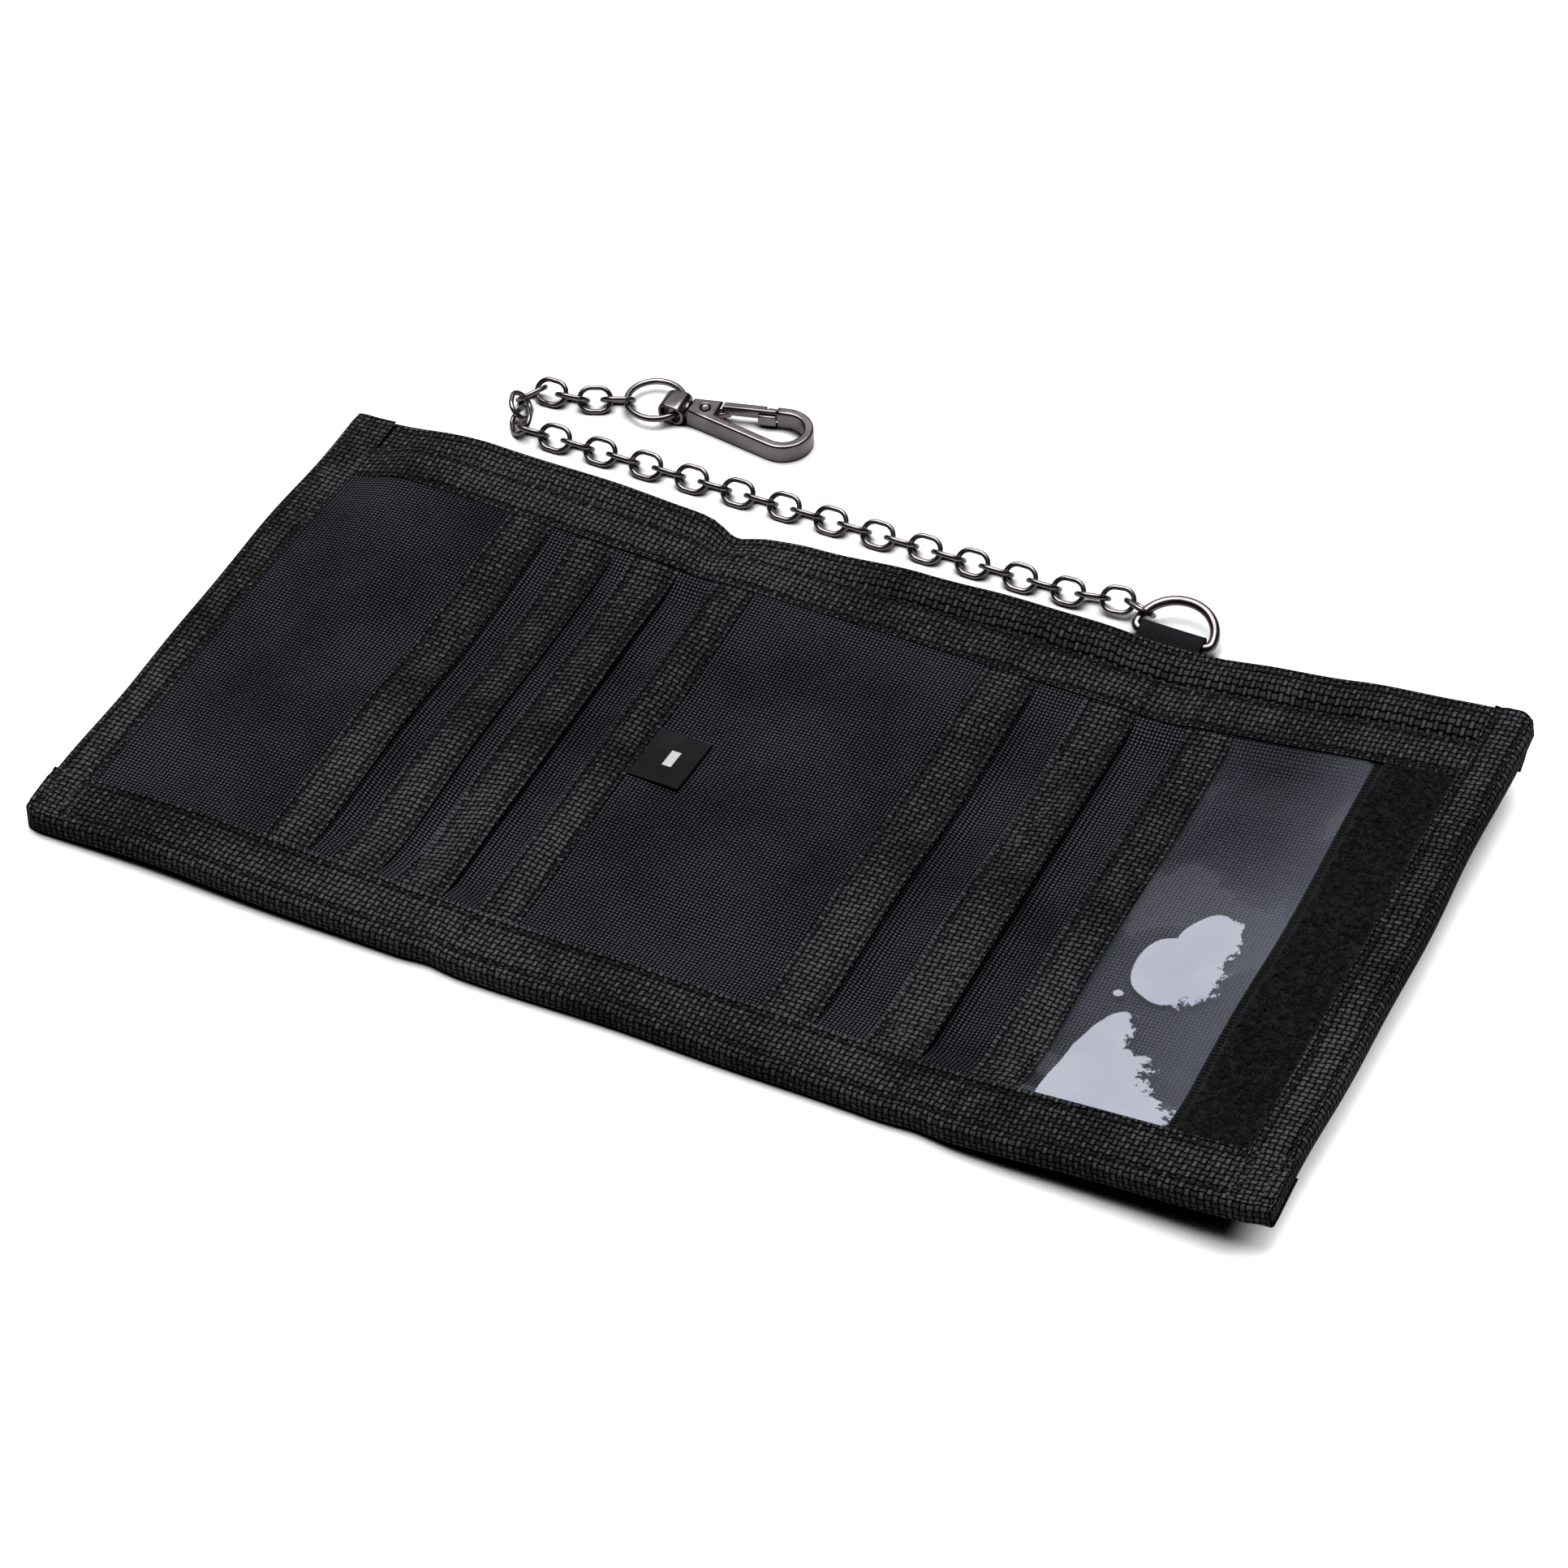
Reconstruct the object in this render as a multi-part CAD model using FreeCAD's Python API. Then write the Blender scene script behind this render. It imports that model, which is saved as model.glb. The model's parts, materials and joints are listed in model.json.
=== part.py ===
import FreeCAD, Part
import os
from math import cos, radians, sin, tan

# Trifold nylon wallet with a security chain, lying open, in millimetres.
# Origin: middle of the open wallet's footprint, on the plane it rests on.
# +X runs along the long side towards the clear-window panel.
# +Y runs towards the bill compartment's mouth, where the chain is. +Z is up.

V = FreeCAD.Vector
X_AXIS = V(1, 0, 0)
Y_AXIS = V(0, 1, 0)
Z_AXIS = V(0, 0, 1)

# ---- driving dimensions: the open wallet ----
OPEN_LENGTH = 240.0
OPEN_HEIGHT = 125.0
THICKNESS = 4.7
CORNER_RADIUS = 3.0
LEFT_FOLD_X = -38.0
FOLD_A_X = 53.0
SPINE_WIDTH = 6.0
FOLD_B_X = FOLD_A_X + SPINE_WIDTH
FOLD_Z = 4.8
FOLD_GAP = 0.3
LEFT_TILT = 1.2
RIGHT_TILT_PER_FOLD = 3.75

# ---- driving dimensions: cloth, tape and binding ----
FLANGE = 0.25
TAPE_WALL = 0.3
SHELL_T = 0.5
LINING_T = 0.25
SHEET_T = 0.2
SLIP = 0.05
NEAR_BINDING_WIDTH = 12.5
SIDE_BINDING_WIDTH = 8.1
OUTER_FAR_BINDING_WIDTH = 9.5
INNER_FAR_Y0 = 44.5
INNER_FAR_Y1 = 54.0
SHELL_BINDING_TOP = 2 * FLANGE + SHELL_T + 2 * SLIP
LINING_Z = 1.9
EDGE_INSET = 1.5

HALF_L = OPEN_LENGTH / 2
HALF_H = OPEN_HEIGHT / 2
NEAR_INNER_Y = -HALF_H + NEAR_BINDING_WIDTH
FAR_INNER_Y = HALF_H - OUTER_FAR_BINDING_WIDTH
SHEET_Y0 = -HALF_H + 2.5
SHEET_Y1 = INNER_FAR_Y1 - 1.5
TAPE_Y0 = NEAR_INNER_Y + 0.1
TAPE_Y1 = INNER_FAR_Y0 - 0.1
POCKET_TAPE_T = 2 * FLANGE + SHEET_T + 2 * SLIP

# ---- driving dimensions: chain and end fittings ----
LINK_HALF_LENGTH = 3.55
LINK_HALF_WIDTH = 2.8
LINK_WIRE_R = 0.5
RUN_HEADINGS = (158, 188, 188) + (180.6,) * 24
BEND_HEADINGS = (125, 111, 61, 0, 8, 24, 24)
JOINT_HALF_GAP = 0.62
BEND_HALF_GAP = 0.82
DROPPING_LINKS = 4
DROP_ANGLE = 3.6
D_RING_BAR = V(48.0, 67.0, 2.6)
D_RING_HALF_WIDTH = 7.5
D_RING_WIRE_R = 0.95
D_RING_TILT = 12.0
D_RING_CORNER = 1.2
TAB_TAIL_Y = 56.0
TAB_LIFT = 0.28
END_RING_RADIUS = 5.55
END_RING_WIRE_R = 0.65
HOOK_HEADING = 3.5
HOOK_HEIGHT = 4.5
HOOK_END_X = 19.3
HOOK_END_R = 5.85
HOOK_HALF_ANGLE = 11.65
HOOK_BAR_WIDTH = 1.9
HOOK_BASE_LENGTH = 5.6
GATE_PIVOT_X = 3.1
GATE_REACH = 13.8
LIP_START = 12.6
LIP_DEPTH = 0.6
FORK_Z0 = 1.1
FORK_Z1 = 3.4
RIVET_R = 0.6
POST_R = 0.75


# ---- small solid builders ----
def block(x0, x1, y0, y1, z0, z1):
    return Part.makeBox(x1 - x0, y1 - y0, z1 - z0, V(x0, y0, z0))


def cylinder(radius, start, direction, length):
    return Part.makeCylinder(radius, length, start, direction)


def rounded_end_block(x0, x1, half_y, z0, z1, radius):
    """A block whose two upright corners at x1 are rounded."""
    shape = block(x0, x1, -half_y, half_y, z0, z1)
    corners = [e for e in shape.Edges
               if abs(e.BoundBox.XMin - x1) < 1e-6 and e.BoundBox.ZLength > (z1 - z0) / 2]
    return shape.makeFillet(radius, corners)


def folded_tape(x0, x1, y0, y1, z0, z1, open_side, flange=FLANGE):
    """A tape folded round an edge: two flanges and a wall, open on one side."""
    slot = {"x0": x0 + TAPE_WALL, "x1": x1 - TAPE_WALL, "y0": y0 + TAPE_WALL, "y1": y1 - TAPE_WALL}
    if open_side in ("+x", "-x"):
        slot["y0"] = y0 - 1
        slot["y1"] = y1 + 1
    else:
        slot["x0"] = x0 - 1
        slot["x1"] = x1 + 1
    reach = {"+x": ("x1", x1 + 1), "-x": ("x0", x0 - 1), "+y": ("y1", y1 + 1), "-y": ("y0", y0 - 1)}
    key, value = reach[open_side]
    slot[key] = value
    cut = block(slot["x0"], slot["x1"], slot["y0"], slot["y1"], z0 + flange, z1 - flange)
    return block(x0, x1, y0, y1, z0, z1).cut(cut)


def mirrored(shape):
    return shape.mirror(V(0, 0, 0), X_AXIS)


def turned(shape, pivot, axis, angle):
    copy = shape.copy()
    copy.rotate(pivot, axis, angle)
    return copy


# ---- wallet pieces shared by the panels ----
def outer_shell(x0, x1):
    """Outer cloth: thin where the bindings grip it, full depth between them."""
    margin_x1 = min(x1, HALF_L - EDGE_INSET)
    margin = block(x0, margin_x1, SHEET_Y0 + 1, HALF_H - EDGE_INSET, FLANGE + SLIP, FLANGE + SLIP + SHELL_T)
    field_x1 = min(x1, HALF_L - SIDE_BINDING_WIDTH - 0.3)
    field = block(x0, field_x1, NEAR_INNER_Y + 0.3, FAR_INNER_Y - 0.3, 0, FLANGE + SLIP + SHELL_T)
    return margin.fuse(field).removeSplitter()


def lining(x0, x1):
    return block(x0, min(x1, HALF_L - EDGE_INSET), SHEET_Y0, SHEET_Y1, LINING_Z, LINING_Z + LINING_T)


def near_binding(x0, x1):
    return folded_tape(x0, x1, -HALF_H, NEAR_INNER_Y, 0, THICKNESS, "+y")


def outer_far_binding(x0, x1):
    return folded_tape(x0, x1, FAR_INNER_Y, HALF_H, 0, SHELL_BINDING_TOP, "-y")


def inner_far_binding(x0, x1):
    return folded_tape(x0, x1, INNER_FAR_Y0, INNER_FAR_Y1, LINING_Z - FLANGE - SLIP, THICKNESS, "-y")


def edge_binding(fold_x):
    """The tape round an end panel: near edge, side edge and the shell's far edge, one piece."""
    side_x = HALF_L - SIDE_BINDING_WIDTH
    outer = rounded_end_block(fold_x, HALF_L, HALF_H, 0, THICKNESS, CORNER_RADIUS)
    cavity = rounded_end_block(fold_x - 1, HALF_L - TAPE_WALL, HALF_H - TAPE_WALL,
                               FLANGE, THICKNESS - FLANGE, CORNER_RADIUS - TAPE_WALL)
    top_window = block(fold_x - 1, side_x, NEAR_INNER_Y, HALF_H + 1, SHELL_BINDING_TOP, THICKNESS + 1)
    bottom_window = block(fold_x - 1, side_x, NEAR_INNER_Y, FAR_INNER_Y, -1, SHELL_BINDING_TOP)
    far_flange = block(fold_x, side_x, FAR_INNER_Y, HALF_H, SHELL_BINDING_TOP - FLANGE, SHELL_BINDING_TOP)
    frame = outer.cut(cavity).cut(top_window).cut(bottom_window)
    return frame.fuse(far_flange).removeSplitter()


def pocket_tape(x0, x1, z0, open_side):
    return folded_tape(x0, x1, TAPE_Y0, TAPE_Y1, z0, z0 + POCKET_TAPE_T, open_side)


def pocket_sheet(x0, x1, tape_z0):
    z0 = tape_z0 + FLANGE + SLIP
    return block(x0, x1, SHEET_Y0, SHEET_Y1, z0, z0 + SHEET_T)


# ---- panels, built flat ----
def centre_panel():
    x0 = LEFT_FOLD_X + FOLD_GAP
    x1 = FOLD_A_X - FOLD_GAP
    lower_z = 2.95
    upper_z = 3.7
    left_tape_x = -34.7
    tape_inner_x = -26.3
    pieces = {
        "outer_shell_centre": outer_shell(x0, x1),
        "lining_centre": lining(x0, x1),
        "near_binding_centre": near_binding(x0, x1),
        "outer_far_binding_centre": outer_far_binding(x0, x1),
        "inner_far_binding_centre": inner_far_binding(x0, x1),
        "centre_pocket_lower": pocket_sheet(left_tape_x + 0.5, 50.8, lower_z),
        "centre_pocket_upper": pocket_sheet(left_tape_x + 0.5, 30.9, upper_z),
        "centre_pocket_tape_lower": pocket_tape(40.8, 51.2, lower_z, "-x"),
        "centre_pocket_tape_upper": pocket_tape(20.8, 31.3, upper_z, "-x"),
        "centre_pocket_closed_tape": folded_tape(left_tape_x, tape_inner_x, TAPE_Y0, TAPE_Y1,
                                                 LINING_Z + LINING_T + SLIP, upper_z + POCKET_TAPE_T, "+x"),
    }
    label_z = upper_z + FLANGE + SLIP + SHEET_T + SLIP
    pieces["label_tab"] = block(tape_inner_x + SLIP, -16.0, -8.0, 6.0, label_z, label_z + 0.35)
    return pieces


def chain_tab():
    """Webbing folded round the D-ring's bar; its tail is sewn down on the shell's far binding.

    The tail reaches past the fold, so it is lifted enough for the spine to turn under it.
    """
    bar = D_RING_BAR
    webbing_t = 0.9
    inner_r = D_RING_WIRE_R + 0.1
    outer_r = inner_r + webbing_t
    width = 12.4
    x0 = bar.x - width / 2
    loop = cylinder(outer_r, V(x0, bar.y, bar.z), X_AXIS, width)
    tail_z = SHELL_BINDING_TOP + TAB_LIFT
    tail = block(x0, x0 + width, TAB_TAIL_Y, bar.y, tail_z, tail_z + webbing_t)
    hole = cylinder(inner_r, V(x0 - 1, bar.y, bar.z), X_AXIS, width + 2)
    return loop.fuse(tail).cut(hole).removeSplitter()


def left_panel():
    """Three staggered card pockets; built on the +X side and mirrored."""
    fold_x = -LEFT_FOLD_X + FOLD_GAP
    sheet_x1 = HALF_L - EDGE_INSET
    side_x = HALF_L - SIDE_BINDING_WIDTH
    pieces = {
        "outer_shell_left": outer_shell(fold_x, HALF_L),
        "lining_left": lining(fold_x, HALF_L),
        "edge_binding_left": edge_binding(fold_x),
        "inner_far_binding_left": inner_far_binding(fold_x, side_x - 0.1),
    }
    pockets = (("lower", 41.8, 51.5, 2.4), ("middle", 54.8, 63.8, 3.15), ("upper", 68.3, 77.5, 3.9))
    for name, tape_x0, tape_x1, tape_z in pockets:
        pieces["left_pocket_" + name] = pocket_sheet(tape_x0 + 0.4, sheet_x1, tape_z)
        pieces["left_pocket_tape_" + name] = pocket_tape(tape_x0, tape_x1, tape_z, "+x")
    pieces["hook_strip"] = block(76.0, 89.0, -48.0, 45.0, -0.75, -SLIP)
    return {name: mirrored(shape) for name, shape in pieces.items()}


def spine_panel():
    x0 = FOLD_A_X + FOLD_GAP
    x1 = FOLD_B_X - FOLD_GAP
    return {
        "outer_shell_spine": outer_shell(x0, x1),
        "lining_spine": lining(x0, x1),
        "near_binding_spine": near_binding(x0, x1),
        "outer_far_binding_spine": outer_far_binding(x0, x1),
        "inner_far_binding_spine": inner_far_binding(x0, x1),
    }


def loop_strip(window_top):
    """Hook-and-loop fastener, the soft half: a woven selvedge with a raised pile field."""
    base = block(97.0, HALF_L - EDGE_INSET - 5, SHEET_Y0, SHEET_Y1, window_top + SLIP, window_top + 0.35)
    side_x = HALF_L - SIDE_BINDING_WIDTH
    pile = block(99.0, side_x - 0.1, TAPE_Y0, TAPE_Y1, window_top + 0.35, THICKNESS + 0.2)
    return base.fuse(pile).removeSplitter()


def right_panel():
    fold_x = FOLD_B_X + FOLD_GAP
    tape_x0 = 60.6
    tape_z = 2.95
    window_z = tape_z + FLANGE + SLIP
    side_x = HALF_L - SIDE_BINDING_WIDTH
    return {
        "outer_shell_right": outer_shell(fold_x, HALF_L),
        "lining_right": lining(fold_x, HALF_L),
        "edge_binding_right": edge_binding(fold_x),
        "inner_far_binding_right": inner_far_binding(fold_x, side_x - 0.1),
        "clear_window": pocket_sheet(tape_x0 + 0.4, HALF_L - EDGE_INSET, tape_z),
        "window_tape": pocket_tape(tape_x0, 69.9, tape_z, "+x"),
        "loop_strip": loop_strip(window_z + SHEET_T),
    }


# ---- chain ----
def link_solid():
    """One oval wire link, long axis on X, lying in the XY plane."""
    bend_r = LINK_HALF_WIDTH - LINK_WIRE_R
    straight = LINK_HALF_LENGTH - LINK_HALF_WIDTH
    a = V(-straight, -bend_r, 0)
    b = V(straight, -bend_r, 0)
    c = V(straight, bend_r, 0)
    d = V(-straight, bend_r, 0)
    path = Part.Wire([
        Part.makeLine(a, b),
        Part.Arc(b, V(straight + bend_r, 0, 0), c).toShape(),
        Part.makeLine(c, d),
        Part.Arc(d, V(-straight - bend_r, 0, 0), a).toShape(),
    ])
    section = Part.Wire(Part.makeCircle(LINK_WIRE_R, a, X_AXIS))
    return path.makePipeShell([section], True, False)


def d_ring_point(angle):
    """A point on the middle of the D-ring's wire, round its bow from +X."""
    bow = V(cos(radians(angle)) * D_RING_HALF_WIDTH, sin(radians(angle)) * D_RING_HALF_WIDTH + D_RING_CORNER, 0)
    tilt = FreeCAD.Rotation(X_AXIS, D_RING_TILT)
    return D_RING_BAR + tilt.multVec(bow)


def link_layout():
    """Centre, heading, climb, twist and far joint of each link, from the D-ring to the end ring."""
    headings = RUN_HEADINGS + BEND_HEADINGS
    run = len(RUN_HEADINGS)
    wire_reach = LINK_HALF_LENGTH - LINK_WIRE_R
    first = radians(headings[0])
    hang = LINK_WIRE_R + D_RING_WIRE_R + 0.12 - JOINT_HALF_GAP
    point = d_ring_point(headings[0]) - V(cos(first), sin(first), 0) * hang
    layout = []
    for i, heading in enumerate(headings):
        gap_in = BEND_HALF_GAP if i >= run else JOINT_HALF_GAP
        bends_out = run - 1 <= i < len(headings) - 1
        gap_out = BEND_HALF_GAP if bends_out else JOINT_HALF_GAP
        climb = -DROP_ANGLE if i < DROPPING_LINKS else 0
        flat = cos(radians(climb))
        direction = V(cos(radians(heading)) * flat, sin(radians(heading)) * flat, sin(radians(climb)))
        centre = point + direction * (wire_reach - gap_in)
        point = centre + direction * (wire_reach - gap_out)
        twist = 45 if i % 2 == 0 else -45
        layout.append((centre, heading, climb, twist, point))
    return layout


def placed_link(centre, heading, climb, twist):
    shape = link_solid()
    shape.rotate(V(0, 0, 0), X_AXIS, twist)
    shape.rotate(V(0, 0, 0), Y_AXIS, -climb)
    shape.rotate(V(0, 0, 0), Z_AXIS, heading)
    shape.translate(centre)
    return shape


def chain_pieces():
    """Links in rigid pairs; the chain bends at every second crossing."""
    layout = link_layout()
    pieces = {}
    for k in range(0, len(layout), 2):
        pair = [placed_link(*layout[j][:4]) for j in (k, k + 1)]
        pieces["chain_links_%02d" % (k // 2 + 1)] = Part.makeCompound(pair)
    return pieces


# ---- rings ----
def d_ring():
    """Bar along X, half-round bow, wire swept round the closed D; tilted up about the bar."""
    corner = D_RING_CORNER
    half = D_RING_HALF_WIDTH
    left = V(-half, corner, 0)
    right = V(half, corner, 0)
    bar_left = V(-half + corner, 0, 0)
    bar_right = V(half - corner, 0, 0)
    inset = corner * (1 - cos(radians(45)))
    path = Part.Wire([
        Part.makeLine(bar_left, bar_right),
        Part.Arc(bar_right, V(half - inset, inset, 0), right).toShape(),
        Part.Arc(right, V(0, corner + half, 0), left).toShape(),
        Part.Arc(left, V(-half + inset, inset, 0), bar_left).toShape(),
    ])
    section = Part.Wire(Part.makeCircle(D_RING_WIRE_R, bar_left, X_AXIS))
    shape = path.makePipeShell([section], True, False)
    shape.rotate(V(0, 0, 0), X_AXIS, D_RING_TILT)
    shape.translate(D_RING_BAR)
    return shape


def end_ring_centre():
    """The ring hangs in the last link, its wire just inside the link's end."""
    point = link_layout()[-1][4]
    heading = radians(BEND_HEADINGS[-1])
    inside = LINK_WIRE_R + END_RING_WIRE_R + 0.22 - JOINT_HALF_GAP
    return point + V(cos(heading), sin(heading), 0) * (END_RING_RADIUS - inside)


def end_ring():
    return Part.makeTorus(END_RING_RADIUS, END_RING_WIRE_R, end_ring_centre(), Z_AXIS)


# ---- snap hook, built along +X from its swivel face at the origin ----
def pear(inset, x0):
    """The hook's outline: two straight sides tangent to a round end, drawn in by inset."""
    angle = radians(HOOK_HALF_ANGLE)
    radius = HOOK_END_R - inset
    tangent_x = HOOK_END_X - radius * sin(angle)
    tangent_y = radius * cos(angle)
    start_y = tangent_y - (tangent_x - x0) * tan(angle)
    a = V(x0, -start_y, 0)
    b = V(tangent_x, -tangent_y, 0)
    c = V(tangent_x, tangent_y, 0)
    d = V(x0, start_y, 0)
    outline = Part.Wire([
        Part.makeLine(a, b),
        Part.Arc(b, V(HOOK_END_X + radius, 0, 0), c).toShape(),
        Part.makeLine(c, d),
        Part.makeLine(d, a),
    ])
    return Part.Face(outline).extrude(V(0, 0, HOOK_HEIGHT))


def pivot_disc(radius):
    return cylinder(radius, V(GATE_PIVOT_X, 0, -1), Z_AXIS, HOOK_HEIGHT + 2)


def gate_side():
    """The half-space beyond the base on the gate's side of the hook."""
    return block(HOOK_BASE_LENGTH, 30, 0.9, 12, -1, HOOK_HEIGHT + 1)


def hook_body():
    """Fixed arm, round end and nose, with a forked base for the gate and the swivel post."""
    inner = pear(HOOK_BAR_WIDTH, HOOK_BASE_LENGTH)
    opening = gate_side().common(pivot_disc(GATE_REACH + 0.15))
    lip = pear(0, 0).cut(pear(LIP_DEPTH, -1)).common(gate_side())
    lip = lip.common(pivot_disc(GATE_REACH + 0.6)).cut(pivot_disc(LIP_START))
    fork = block(0.9, HOOK_BASE_LENGTH + 0.2, -1.45, 6, FORK_Z0, FORK_Z1)
    post_bore = cylinder(POST_R + 0.05, V(-1, 0, HOOK_HEIGHT / 2), X_AXIS, 2.5)
    rivet_bore = pivot_disc(RIVET_R)
    body = pear(0, 0).cut(inner).cut(opening).fuse(lip)
    return body.cut(fork).cut(post_bore).cut(rivet_bore).removeSplitter()


def gate():
    """The sprung gate: an eye on the rivet, an arm in the fork and a bar up to the nose."""
    lug_z0 = 1.2
    lug_z1 = 2.5
    bar_z0 = 2.1
    eye = cylinder(1.3, V(GATE_PIVOT_X, 0, lug_z0), Z_AXIS, lug_z1 - lug_z0)
    arm = block(GATE_PIVOT_X, GATE_PIVOT_X + 5.2, -0.8, 0.8, lug_z0, lug_z1)
    arm.rotate(V(GATE_PIVOT_X, 0, 0), Z_AXIS, 32)
    ring = pear(0.05, 0).cut(pear(HOOK_BAR_WIDTH, 0)).common(gate_side())
    ring = ring.common(pivot_disc(GATE_REACH)).cut(block(-1, HOOK_BASE_LENGTH + 0.15, -9, 9, -1, 9))
    clear_of_lip = pear(0, 0).cut(pear(LIP_DEPTH + 0.15, -1)).cut(pivot_disc(LIP_START - 0.15))
    bar = ring.cut(clear_of_lip)
    under_bar = block(0, 30, -9, 9, -1, bar_z0).common(pivot_disc(9.5))
    trim = block(0, 30, -9, 9, -1, 0.1)
    bar = bar.cut(under_bar).cut(trim)
    bore = pivot_disc(RIVET_R + 0.05)
    return bar.fuse(arm).fuse(eye).cut(bore).removeSplitter()


def gate_rivet():
    head = cylinder(1.15, V(GATE_PIVOT_X, 0, HOOK_HEIGHT + 0.02), Z_AXIS, 0.35)
    shank = cylinder(RIVET_R - 0.02, V(GATE_PIVOT_X, 0, 0.1), Z_AXIS, HOOK_HEIGHT)
    return head.fuse(shank).removeSplitter()


def gate_spring():
    """Torsion spring round the rivet, above the gate's eye: a close-wound coil with two legs."""
    wire_r = 0.13
    coil_r = 0.95
    leg = 1.6
    base = V(GATE_PIVOT_X, 0, 2.62)
    height = 4 * wire_r
    outer = cylinder(coil_r + wire_r, base, Z_AXIS, height)
    inner = cylinder(coil_r - wire_r, base - Z_AXIS, Z_AXIS, height + 2)
    low_leg = cylinder(wire_r, base + V(0, coil_r - 0.02, 2 * wire_r), X_AXIS, leg)
    high_leg = cylinder(wire_r, base + V(0, 0.02 - coil_r, 2 * wire_r), X_AXIS, leg)
    return outer.fuse(low_leg).fuse(high_leg).cut(inner).removeSplitter()


def swivel_eye():
    """A closed eye round the end ring, with a headed post that turns in the hook's base."""
    half_width = 3.0
    eye_x0 = -6.0
    eye_x1 = -0.3
    wall = 0.9
    eye = block(eye_x0, eye_x1, -half_width, half_width, 0.1, HOOK_HEIGHT - 0.1)
    long_edges = [e for e in eye.Edges if e.BoundBox.YLength > half_width]
    eye = eye.makeFillet(1.2, long_edges)
    hole = block(eye_x0 + wall, eye_x1 - wall, -half_width - 1, half_width + 1, 1.0, HOOK_HEIGHT - 1.0)
    hole_edges = [e for e in hole.Edges if e.BoundBox.YLength > half_width]
    eye = eye.cut(hole.makeFillet(0.6, hole_edges))
    middle = HOOK_HEIGHT / 2
    post = cylinder(POST_R, V(eye_x1 - 0.1, 0, middle), X_AXIS, 1.9)
    head = cylinder(1.05, V(1.0, 0, middle), X_AXIS, 0.65)
    return eye.fuse(post).fuse(head).removeSplitter()


def hook_pieces():
    """The hook's pieces, carried to where the end ring holds the swivel eye."""
    origin = end_ring_centre() + V(END_RING_RADIUS + 2.0, 0, 0)
    origin.z = 0.05
    pieces = {
        "swivel_eye": swivel_eye(),
        "hook_body": hook_body(),
        "hook_gate": gate(),
        "gate_rivet": gate_rivet(),
        "gate_spring": gate_spring(),
    }
    for shape in pieces.values():
        shape.rotate(V(0, 0, 0), Z_AXIS, HOOK_HEADING)
        shape.translate(origin)
    return pieces


# ---- assembly at rest ----
def tilt_left(shape):
    return turned(shape, V(LEFT_FOLD_X, 0, FOLD_Z), Y_AXIS, LEFT_TILT)


def tilt_spine(shape):
    return turned(shape, V(FOLD_A_X, 0, FOLD_Z), Y_AXIS, -RIGHT_TILT_PER_FOLD)


def tilt_right(shape):
    return tilt_spine(turned(shape, V(FOLD_B_X, 0, FOLD_Z), Y_AXIS, -RIGHT_TILT_PER_FOLD))


def wallet():
    pieces = centre_panel()
    pieces["chain_tab"] = chain_tab()
    pieces.update({name: tilt_left(shape) for name, shape in left_panel().items()})
    pieces.update({name: tilt_spine(shape) for name, shape in spine_panel().items()})
    pieces.update({name: tilt_right(shape) for name, shape in right_panel().items()})
    pieces["d_ring"] = d_ring()
    pieces.update(chain_pieces())
    pieces["end_ring"] = end_ring()
    pieces.update(hook_pieces())
    return pieces


os.makedirs("parts", exist_ok=True)
for node, solid in wallet().items():
    solid.exportStep("parts/" + node + ".step")
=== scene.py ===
import json
import math
import random

import bmesh
import bpy
import numpy as np
from mathutils import Matrix, Vector

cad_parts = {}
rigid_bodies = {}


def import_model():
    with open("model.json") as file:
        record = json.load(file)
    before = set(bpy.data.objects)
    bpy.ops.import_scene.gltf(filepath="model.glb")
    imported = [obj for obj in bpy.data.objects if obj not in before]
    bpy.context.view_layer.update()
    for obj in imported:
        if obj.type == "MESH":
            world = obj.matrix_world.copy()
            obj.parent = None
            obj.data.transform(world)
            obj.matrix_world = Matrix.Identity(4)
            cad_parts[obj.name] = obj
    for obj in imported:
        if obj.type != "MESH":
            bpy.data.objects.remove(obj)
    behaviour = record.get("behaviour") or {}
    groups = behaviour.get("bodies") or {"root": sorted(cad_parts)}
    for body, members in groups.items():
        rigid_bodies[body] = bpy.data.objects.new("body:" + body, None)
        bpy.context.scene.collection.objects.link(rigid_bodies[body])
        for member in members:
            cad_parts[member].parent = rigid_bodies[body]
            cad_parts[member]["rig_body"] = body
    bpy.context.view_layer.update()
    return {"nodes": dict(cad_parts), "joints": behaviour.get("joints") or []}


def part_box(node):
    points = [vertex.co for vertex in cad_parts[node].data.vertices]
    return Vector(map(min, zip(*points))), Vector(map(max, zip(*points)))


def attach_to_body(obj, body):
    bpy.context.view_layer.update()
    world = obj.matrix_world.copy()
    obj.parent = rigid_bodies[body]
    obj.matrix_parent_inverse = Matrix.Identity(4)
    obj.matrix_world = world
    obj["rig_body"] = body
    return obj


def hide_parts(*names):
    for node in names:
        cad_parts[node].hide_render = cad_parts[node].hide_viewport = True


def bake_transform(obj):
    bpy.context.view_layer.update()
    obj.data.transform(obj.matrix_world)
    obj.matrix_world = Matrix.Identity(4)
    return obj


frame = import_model()
random.seed(7)
rng = np.random.default_rng(7)

# Cloth is laid out flat in millimetres, x along the open wallet and y across it, then relaxed and
# turned onto the CAD panels' rest angles. The chain, the rings and the gate spring keep their CAD
# solids. The snap hook, its gate and rivet, and the swivel eye are meshed here on the CAD's joints.
MM = 0.001
JOINTS = {joint["name"]: joint for joint in frame["joints"]}


def joint_point(name):
    return [value / MM for value in JOINTS[name]["pos_m"]]


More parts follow.
